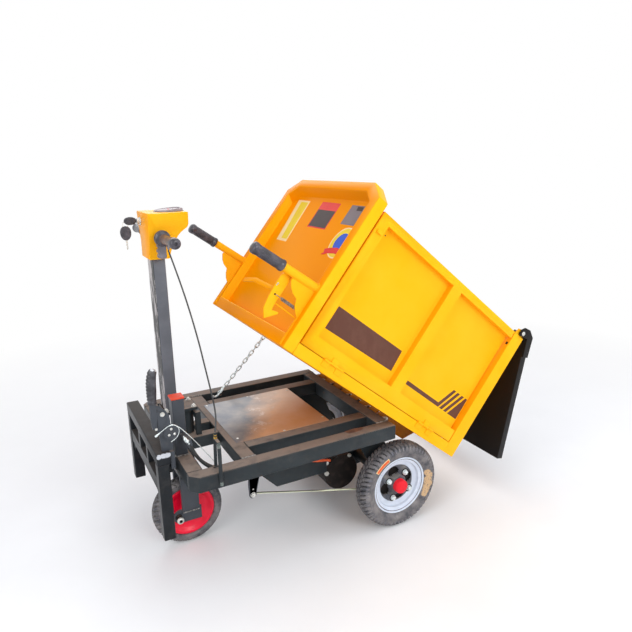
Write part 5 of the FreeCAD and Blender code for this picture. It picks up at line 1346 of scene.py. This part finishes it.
springLook = {
    "from": -664.0, "to": -607.0, "z": 124.0, "y": -310.0, "radius": 4.6, "wire": 1.1, "coils": 15,
    "hooks": [[(-684, -305, 125), (-684, -311, 126), (-676, -312, 125), (-664, -310, 124)],
              [(-607, -310, 124), (-600, -313, 124), (-592, -314, 124), (-587, -314.5, 124)]]}
latchLook = {
    "rod": [(-670, -308, 102), (-630, -308, 101), (-584.5, -308, 99)], "rodRadius": 1.8,
    # (place, radius, height)
    "bolts": [((-699, -305, 158), 3.2, 1.8), ((-700, -305, 152), 2.6, 1.4)],
    "hole": [(0, 0), (3.2, 0), (3.2, 0.4), (0, 0.4)], "holePlace": (-688, -305, 125)}
wind = np.linspace(0, 1, springLook["coils"] * 12 + 1)
angle = wind * springLook["coils"] * 2 * np.pi
# helix: x runs on with the turns, y and z go round it
coil = np.stack([springLook["from"] + wind * (springLook["to"] - springLook["from"]),
                 springLook["y"] + np.cos(angle) * springLook["radius"],
                 springLook["z"] + np.sin(angle) * springLook["radius"]], -1)
wire = circle(springLook["wire"], 6)
makePiece("latch_spring", [swept(coil, wire, (1, 0.02, 0.03))]
          + [swept(eased(hook, 5), wire, upwards) for hook in springLook["hooks"]],
          weldMetal, "bed", place=onBed, sharp=60)
makePiece("latch_rod", [swept(latchLook["rod"], circle(latchLook["rodRadius"], 8), upwards)], yellowEnamel,
          "bed", place=onBed, sharp=60)
makePiece("latch_bolts", [dome(place, outRight, radius, tall) for place, radius, tall in latchLook["bolts"]],
          zincPlate, "bed", place=onBed)
# the spring's hole is a dark disc on the lever, a painted shade
makePiece("latch_holes", [turned(latchLook["hole"], latchLook["holePlace"], outRight, 16)], gateEnamel, "bed",
          place=onBed)

handleWeldLook = {"x": -585.5, "y": (-315, -321), "low": 5, "high": 200, "ringX": -585.0, "ring": (-318, 216),
                  "ringRadius": 15, "stations": 48}
weldX = handleWeldLook["x"]
handleBeads = [weldBead((weldX, along, handleWeldLook["low"]), (weldX, along, handleWeldLook["high"]), 1.8, 5,
                        (1, 0, 0)) for along in handleWeldLook["y"]]
ringTurn = np.linspace(0, 2 * np.pi, handleWeldLook["stations"] + 1)[:-1]
ringY, ringZ = handleWeldLook["ring"]
ringBead = np.stack([np.full(len(ringTurn), handleWeldLook["ringX"]),
                     ringY + np.cos(ringTurn) * handleWeldLook["ringRadius"],
                     ringZ + np.sin(ringTurn) * handleWeldLook["ringRadius"]], -1)
swell = circle(2.2, 8)[None] * (1 + 0.2 * np.sin(ringTurn * 12))[:, None, None]
handleBeads.append(swept(ringBead, swell, (1, 0, 0), ring=True))
makePiece("handle_welds", handleBeads + acrossY(handleBeads), yellowEnamel, "bed", place=onBed, sharp=60)
print("handles ready")


# Side gates: blank vinyl label and stripes, latch holes drawn as dark discs, a painted shade.

gateLook = {
    "sheet": 318.0, "film": 0.25,
    "label": [(-475.7, 127.6), (-145.4, 138.0), (-151.0, 218.8), (-475.7, 212.8)],
    "stripes": [
        [(-58.5, 145.5), (-58.5, 130.5), (141.5, 130.5), (183.0, 219.5), (168.2, 219.5), (131.8, 145.5)],
        [(193.5, 219.5), (208.5, 219.5), (165.5, 130.5), (149.0, 130.5)],
        [(220.1, 219.5), (235.2, 219.5), (191.0, 130.5), (175.0, 130.5)],
        [(245.0, 219.5), (256.6, 219.5), (256.6, 130.5), (200.4, 130.5)]],
    "hole": [(0, 0), (2.6, 0), (2.6, 0.35), (0, 0.35)], "holePlace": (-487, -342.3, 486),
    "postHole": [(266.2, -337), (266.2, -327), (265.7, -327), (265.7, -337)], "postHoleLow": 487,
    "postHoleHigh": 498}
films = [slab(outline, -gateLook["sheet"] - gateLook["film"], -gateLook["sheet"] + 0.05)
         for outline in [gateLook["label"]] + gateLook["stripes"]]
makePiece("gate_films_right", films, brownVinyl, "side_gate_right", place=onBed)
makePiece("gate_films_left", acrossY(films), brownVinyl, "side_gate_left", place=onBed)
# the latch holes are dark discs on the sheet, a painted shade for the hole
gateHoleShades = [turned(gateLook["hole"], gateLook["holePlace"], outRight, 14)]
makePiece("gate_holes_right", gateHoleShades, gateEnamel, "side_gate_right", place=onBed)
makePiece("gate_holes_left", acrossY(gateHoleShades), gateEnamel, "side_gate_left", place=onBed)
# oval bolt hole in each rear post's inner side, seen past the gate's open end, drawn as a dark slab: a painted
# shade
postHole = [slab(gateLook["postHole"], gateLook["postHoleLow"], gateLook["postHoleHigh"], "z")]
makePiece("post_holes", postHole + acrossY(postHole), gateEnamel, "bed", place=onBed)


# Front wall: blank stickers in the recess.

def disc(centre, radius, start=0.0, end=360.0, count=48):
    angle = np.radians(np.linspace(start, end, count + 1)[:-1])
    return np.stack([centre[0] + np.cos(angle) * radius, centre[1] + np.sin(angle) * radius], -1)


badge = (-228, 400)
wallLook = {
    "depth": -548.0, "film": 0.25, "into": 0.05,
    # (name, outline in y and z, finish, how many films lie under it)
    "stickers": [
        ("sticker_strip_edge", [(150, 357), (236, 357), (262, 548), (163, 548)], creamVinyl, 0),
        ("sticker_strip", [(158, 368), (205, 368), (232, 540), (170, 540)], labelYellow, 1),
        ("sticker_notice_edge", [(-75, 437), (63, 437), (62, 550.5), (-74, 550.5)], labelRed, 0),
        ("sticker_notice", [(-70, 442), (58, 442), (58, 516), (-70, 516)], labelBlack, 1),
        ("sticker_plate", [(-238, 470), (-151, 470), (-153, 549.5), (-236, 549.5)], labelGrey, 0),
        ("sticker_plate_corner", [(-233, 529), (-197, 529), (-195, 545), (-231, 545)], labelBlack, 1),
        ("sticker_round_edge", disc(badge, 62), creamVinyl, 0),
        ("sticker_round_ring", disc(badge, 57), labelYellow, 1),
        ("sticker_round", disc(badge, 38), labelBlue, 2),
        ("sticker_round_band",
         [(-150, 343), (-163, 352), (-156, 366), (-185, 374), (-228, 380), (-271, 374), (-288, 366),
          (-288, 343), (-271, 352), (-228, 357), (-185, 352), (-166, 344)], labelRed, 3)]}
for name, outline, finish, under in wallLook["stickers"]:
    outside = wallLook["depth"] - wallLook["film"] * (1 + under)
    makePiece(name, [slab(outline, outside, wallLook["depth"] + wallLook["into"], "x")], finish, "bed",
              place=onBed)
print("films ready")


# Battery cover's rivets, motor and the leads under the bed.

coverLook = {
    "rivets": [(216, 174), (221, -152), (558, 158), (560, -146), (388, -178), (388, 178)], "rivetZ": 432.8,
    "pad": [(566, -296), (600, -292), (636, -297), (633, -313), (604, -318), (574, -315)], "padLow": 432.6,
    "padHigh": 434.4}
rivets = [dome((x, along, coverLook["rivetZ"]), upwards, 4.6, 1.8) for x, along in coverLook["rivets"]]
makePiece("cover_rivets", rivets, zincPlate, "chassis")
makePiece("rail_pad", [slab(coverLook["pad"], coverLook["padLow"], coverLook["padHigh"], "z")], dustyRubber,
          "chassis", edge=0.6)

motorLook = {
    "middle": (643.0, chassisBox("motor")[0][1], 178.0),
    # (radius, distance inwards from the end face)
    "bell": [(0, 1.5), (18, 1.5), (19, 0.6), (44, 0.6), (45, 1.6), (62, 1.6), (63, 0.4), (70, 0.4), (72.6, 3),
             (72.6, 16), (71.4, 17.5), (71.4, 20), (72.6, 21.5), (72.6, 26), (0, 26)],
    "screws": 6, "screwCircle": 57, "screwOut": 1.4,
    # (place, way, across flats, height, washer, stud)
    "fixings": [((571, -150, 240), (-0.5, -1, 0.2), 12, 7, 9, 4),
                ((572, -150, 194), (-0.4, -1, 0), 12, 7, 9, 4),
                ((676, -146, 243), (0, -1, 0.3), 12, 7, 8, 4)]}
motorMid = np.array(motorLook["middle"])
bell = [(radius, -inwards) for radius, inwards in motorLook["bell"]]
makePiece("motor_bell", [turned(bell, motorMid, outRight, 72)], motorEnamel, "chassis", sharp=25)
screws = []
for number in range(motorLook["screws"]):
    a = math.radians(30 + 360 / motorLook["screws"] * number)
    circleRadius = motorLook["screwCircle"]
    place = motorMid + [circleRadius * math.cos(a), -motorLook["screwOut"], circleRadius * math.sin(a)]
    screws.append(dome(place, outRight, 3.4, 1.8))
makePiece("motor_screws", screws, motorEnamel, "chassis")
fixings = []
for fixing in motorLook["fixings"]:
    fixings += bolt(*fixing)
makePiece("motor_fixings", fixings, zincPlate, "chassis", edge=0.4)

wiringLook = {
    "sleeve": [(478, -184, 292), (500, -181, 284), (530, -177, 274), (556, -172, 268), (578, -165, 256)],
    "sleeveRadius": 5.2, "lead": [(574, -166, 258), (590, -160, 264), (612, -150, 262), (628, -135, 244)],
    # how far each next lead stands from the one before, at each of its points
    "leadStep": [(0, 5, 0), (0, 7, 3), (0, 9, 2), (0, 9, 0)], "leads": 3, "leadRadius": 3.4,
    "box": [(606, -60), (672, -60), (672, 24), (606, 24)], "boxLow": 244, "boxHigh": 272,
    "loose": [[(600, -96, 296), (604, -84, 312), (616, -78, 318), (622, -64, 300)],
              [(650, -120, 300), (664, -112, 322), (676, -96, 322), (680, -84, 304)]], "looseRadius": 1.6,
    "looms": [[(574, 40, 300), (604, 30, 330), (640, 10, 338), (670, -20, 320), (694, -40, 290)],
              [(574, 10, 290), (598, -4, 322), (632, -28, 330), (668, -62, 312), (690, -76, 284)],
              [(574, 90, 296), (610, 92, 326), (650, 84, 330), (688, 70, 296)]], "loomRadius": 5.5}
leadSleeve = swept(eased(wiringLook["sleeve"], 6), circle(wiringLook["sleeveRadius"], 12), upwards)
makePiece("motor_lead_sleeve", [leadSleeve], orangeVinyl, "chassis", sharp=60)
leads = []
for number in range(wiringLook["leads"]):
    line = eased(np.array(wiringLook["lead"]) + np.array(wiringLook["leadStep"]) * number, 6)
    leads.append(swept(line, circle(wiringLook["leadRadius"], 10), (0, 1, 0)))
makePiece("motor_leads", leads, cableSheath, "chassis", sharp=60)
# terminal box and small parts seen through the opening behind the cover
makePiece("terminal_box", [slab(wiringLook["box"], wiringLook["boxLow"], wiringLook["boxHigh"], "z")],
          motorEnamel, "chassis", edge=2.5)
makePiece("loose_wires", [swept(eased(line, 6), circle(wiringLook["looseRadius"], 8), upwards)
                          for line in wiringLook["loose"]], galvanised, "chassis", sharp=60)
makePiece("loom", [swept(eased(line, 8), circle(wiringLook["loomRadius"], 12), upwards)
                   for line in wiringLook["looms"]], cableSheath, "chassis", sharp=60)
print("motor ready")


# Relay lever, pull rod and the brake arm below the axle.

relayLook = {
    "y": -318.0, "half": 3, "eye": (204.0, 309.0), "eyeRadius": 12.5, "shoulders": [(192, 380), (190, 345)],
    "back": [(218, 330), (231, 380)], "boss": [(0, 0), (8, 0), (8, 14), (0, 14)], "rivet": (205, 329),
    "knee": (635.0, -252.0, 162.0), "arm": (763.0, -246.0, 132.0), "rodRadius": 3.0,
    "armOutline": [(751, 122), (773, 122), (799, 148), (779, 151)], "armFrom": -249, "armTo": -243,
    "armPin": (762, 131)}
eyeX, eyeZ = relayLook["eye"]
near, far = relayLook["y"] - relayLook["half"], relayLook["y"] + relayLook["half"]
lower = disc(relayLook["eye"], relayLook["eyeRadius"], 180, 360, 14)
leverOutline = np.concatenate([relayLook["shoulders"], lower, relayLook["back"]])
makePiece("relay_plate", [slab(leverOutline, near, far)], plateEnamel, "chassis", edge=0.8,
          replaced=["relay_lever"])
makePiece("relay_pin", bolt((eyeX, near, eyeZ), outRight, 15, 6, 9.5, 4)
          + [turned(relayLook["boss"], (eyeX, far, eyeZ), (0, 1, 0), 24),
             dome((relayLook["rivet"][0], near, relayLook["rivet"][1]), outRight, 2.6, 1.2)],
          zincPlate, "chassis", edge=0.5)
rodLine = eased([(eyeX, -308, eyeZ), (eyeX + 40, -303, 295), relayLook["knee"], (700, -249, 147),
                 relayLook["arm"]], 14)
makePiece("pull_rod", [swept(rodLine, circle(relayLook["rodRadius"], 12), upwards)], rodPaint, "chassis",
          sharp=60)
makePiece("brake_arm", [slab(relayLook["armOutline"], relayLook["armFrom"], relayLook["armTo"])], plateEnamel,
          "chassis", edge=0.8)
armX, armZ = relayLook["armPin"]
makePiece("brake_arm_pin", bolt((armX, relayLook["armFrom"], armZ), outRight, 10, 5, 7, 3), zincPlate,
          "chassis", edge=0.4)


# Fastenings and welds of the frame.

fixingLook = {"out": 241.5, "places": [(764, 205), (818, 205), (764, 131), (818, 131)]}
fastenings = []
for side in (-1, 1):
    for x, z in fixingLook["places"]:
        fastenings += bolt((x, side * fixingLook["out"], z), (0, side, 0), 14, 7, 10, 5)
makePiece("axle_fixings", fastenings, zincPlate, "chassis", edge=0.5)
rail = 293.5                        # the rails' inner edge, out from the vehicle's middle
cornerBead = weldBead((50, -rail, 431), (50, -292, 392), 2.2, 4, (0, 1, 0))
railBeads = [weldBead((start, -rail, 433), (start + 50, -rail, 433), 2.6) for start in (181, 703)]
headBeads = [weldBead((-1, start, 384), (-1, start + 50, 384), 2.4) for start in (-150, 100)]
makePiece("frame_welds", beads + [cornerBead] + railBeads + headBeads + acrossY(railBeads), weldMetal,
          "chassis", sharp=60)
# hinge knuckles along the pin: sleeves and webs of the bed with the frame's lugs between them
knuckleLook = {
    "pin": (763.5, 423.0), "sleeve": 9.2, "bore": 5.3, "from": -208.0, "pitch": 69.4, "long": 52.0,
    "count": 6,
    "web": 4.0, "webTop": 0.3, "webLow": -8, "bridgeLow": -5.5, "lug": 8.8, "lugFrom": -13, "lugTo": -4,
    "lugFoot": [(752.5, 396), (763, 396), (770, 411), (768, 416), (752.5, 416)]}


def tube(bore, radius, start, end):
    return [(bore, start), (radius, start), (radius, end), (bore, end)]


def hingeWeb(look, low, start, end):
    # a flat web of the bed between the sleeves and the floor
    web, top = look["web"], look["webTop"]
    return slab([(-web, low), (web, low), (web, top), (-web, top)], start, end)


sleeves, lugs = [], []
pinX, pinZ = knuckleLook["pin"]
for number in range(knuckleLook["count"]):
    start = knuckleLook["from"] + knuckleLook["pitch"] * number
    sleeves.append(turned(tube(knuckleLook["bore"], knuckleLook["sleeve"], 0, knuckleLook["long"]),
                          (0, start, -bedDrop), (0, 1, 0), 28, ring=True))
    sleeves.append(hingeWeb(knuckleLook, knuckleLook["webLow"], start + 2, start + knuckleLook["long"] - 2))
    if number:
        # the web runs on over the gap, clear of the frame's lug
        sleeves.append(hingeWeb(knuckleLook, knuckleLook["bridgeLow"], start - 20, start + 4))
        lug = tube(knuckleLook["bore"], knuckleLook["lug"], knuckleLook["lugFrom"], knuckleLook["lugTo"])
        lugs.append(turned(lug, (pinX, start, pinZ), (0, 1, 0), 24, ring=True))
        lugs.append(slab(knuckleLook["lugFoot"], start + knuckleLook["lugFrom"],
                         start + knuckleLook["lugTo"]))
makePiece("hinge_knuckles", sleeves, hingeShadeEnamel, "bed", place=onBed, edge=0.8)
makePiece("hinge_lugs", lugs, motorEnamel, "chassis", edge=0.8)
# folded lips on the floor, inside the drop gates
lipLook = {"near": 308.0, "wide": 2.0, "low": 39.8, "high": 47.0, "from": -536.0, "to": 256.0}
start, end, low, high = lipLook["from"], lipLook["to"], lipLook["low"], lipLook["high"]
lip = [slab([(start, low), (end, low), (end, high), (start, high)], -lipLook["near"] - lipLook["wide"],
            -lipLook["near"])]
makePiece("floor_lips", lip + acrossY(lip), yellowEnamel, "bed", place=onBed, edge=0.6)
pinEndLook = {"profile": [(0, 0), (9, 0), (9, 2), (5.2, 2.2), (5.2, 6), (0, 6)], "out": 264}
pinEnds = [turned(pinEndLook["profile"], (pinX, -pinEndLook["out"], pinZ), outRight, 20)]
makePiece("hinge_pin_ends", pinEnds + acrossY(pinEnds), zincPlate, "chassis")


# Tailgate's pivot.

pivotLook = {"y": -351.4, "profile": [(0, 0), (8.5, 0), (8.5, 1.6), (6.5, 3.0), (0, 3.2)]}
pivotEnd = [turned(pivotLook["profile"], (0, pivotLook["y"], 0), outRight, 28)]
makePiece("tailgate_pin_end", pivotEnd, zincPlate, "tailgate", place=onTailgate)
print("frame fastenings ready")


# Floor and world.

floorLook = {"half": 14.0, "near": 1.3, "far": 3.2}


def backdropRays(tree):
    # 1 for the rays that see the backdrop: straight from the camera, off a mirror or through glass
    path = addNode(tree, "LightPath")
    bent = addNode(tree, "Math", {
        "operation": "MAXIMUM", 0: path["Is Glossy Ray"], 1: path["Is Transmission Ray"]})
    return addNode(tree, "Math", {"operation": "MAXIMUM", 0: path["Is Camera Ray"], 1: bent[0]})[0]


def addFloor(look):
    # pale floor that keeps the shadow under the vehicle and turns to plain white farther off
    mesh = bpy.data.meshes.new("floor")
    r = look["half"]
    mesh.from_pydata([(-r, -r, -0.0005), (r, -r, -0.0005), (r, r, -0.0005), (-r, r, -0.0005)], [],
                     [(0, 1, 2, 3)])
    made, tree = newMaterial("paleFloor")
    place = addNode(tree, "TexCoord")["Object"]
    clouds = addNode(tree, "TexNoise", {"Vector": place, "Scale": metre / 400, "Detail": 4.0,
                                        "Roughness": 0.55})
    patches = addNode(tree, "MapRange", {0: clouds[0], 1: 0.3, 2: 0.7})
    tone = addNode(tree, "Mix", {"data_type": "RGBA", 0: patches[0], 6: "#F9F9F9", 7: "#F5F5F5"})[2]
    surface = addNode(tree, "BsdfPrincipled", {"Base Color": tone, "Roughness": 0.9})
    away = addNode(tree, "VectorMath", {"operation": "LENGTH", 0: place})
    far = addNode(tree, "MapRange", {0: away[1], 1: look["near"], 2: look["far"]})
    share = addNode(tree, "Math", {"operation": "MULTIPLY", 0: backdropRays(tree), 1: far[0]})
    white = addNode(tree, "Emission", {0: "#FFFFFF", 1: 1.0})
    mixed = addNode(tree, "MixShader", {0: share[0], 1: surface[0], 2: white[0]})
    addNode(tree, "OutputMaterial", {0: mixed[0]})
    mesh.materials.append(made)
    floor = bpy.data.objects.new("floor", mesh)
    bpy.context.scene.collection.objects.link(floor)


addFloor(floorLook)


def addWorld():
    world = bpy.data.worlds.new("studio")
    bpy.context.scene.world = world
    world.use_nodes = True
    tree = world.node_tree
    tree.nodes.clear()
    light = addNode(tree, "Background", {0: "#F4F6FF", 1: 0.55})
    white = addNode(tree, "Background", {0: "#FFFFFF", 1: 1.0})
    mixed = addNode(tree, "MixShader", {0: backdropRays(tree), 1: light[0], 2: white[0]})
    addNode(tree, "OutputWorld", {0: mixed[0]})


addWorld()

scene = bpy.context.scene
scene.view_settings.view_transform = "Standard"
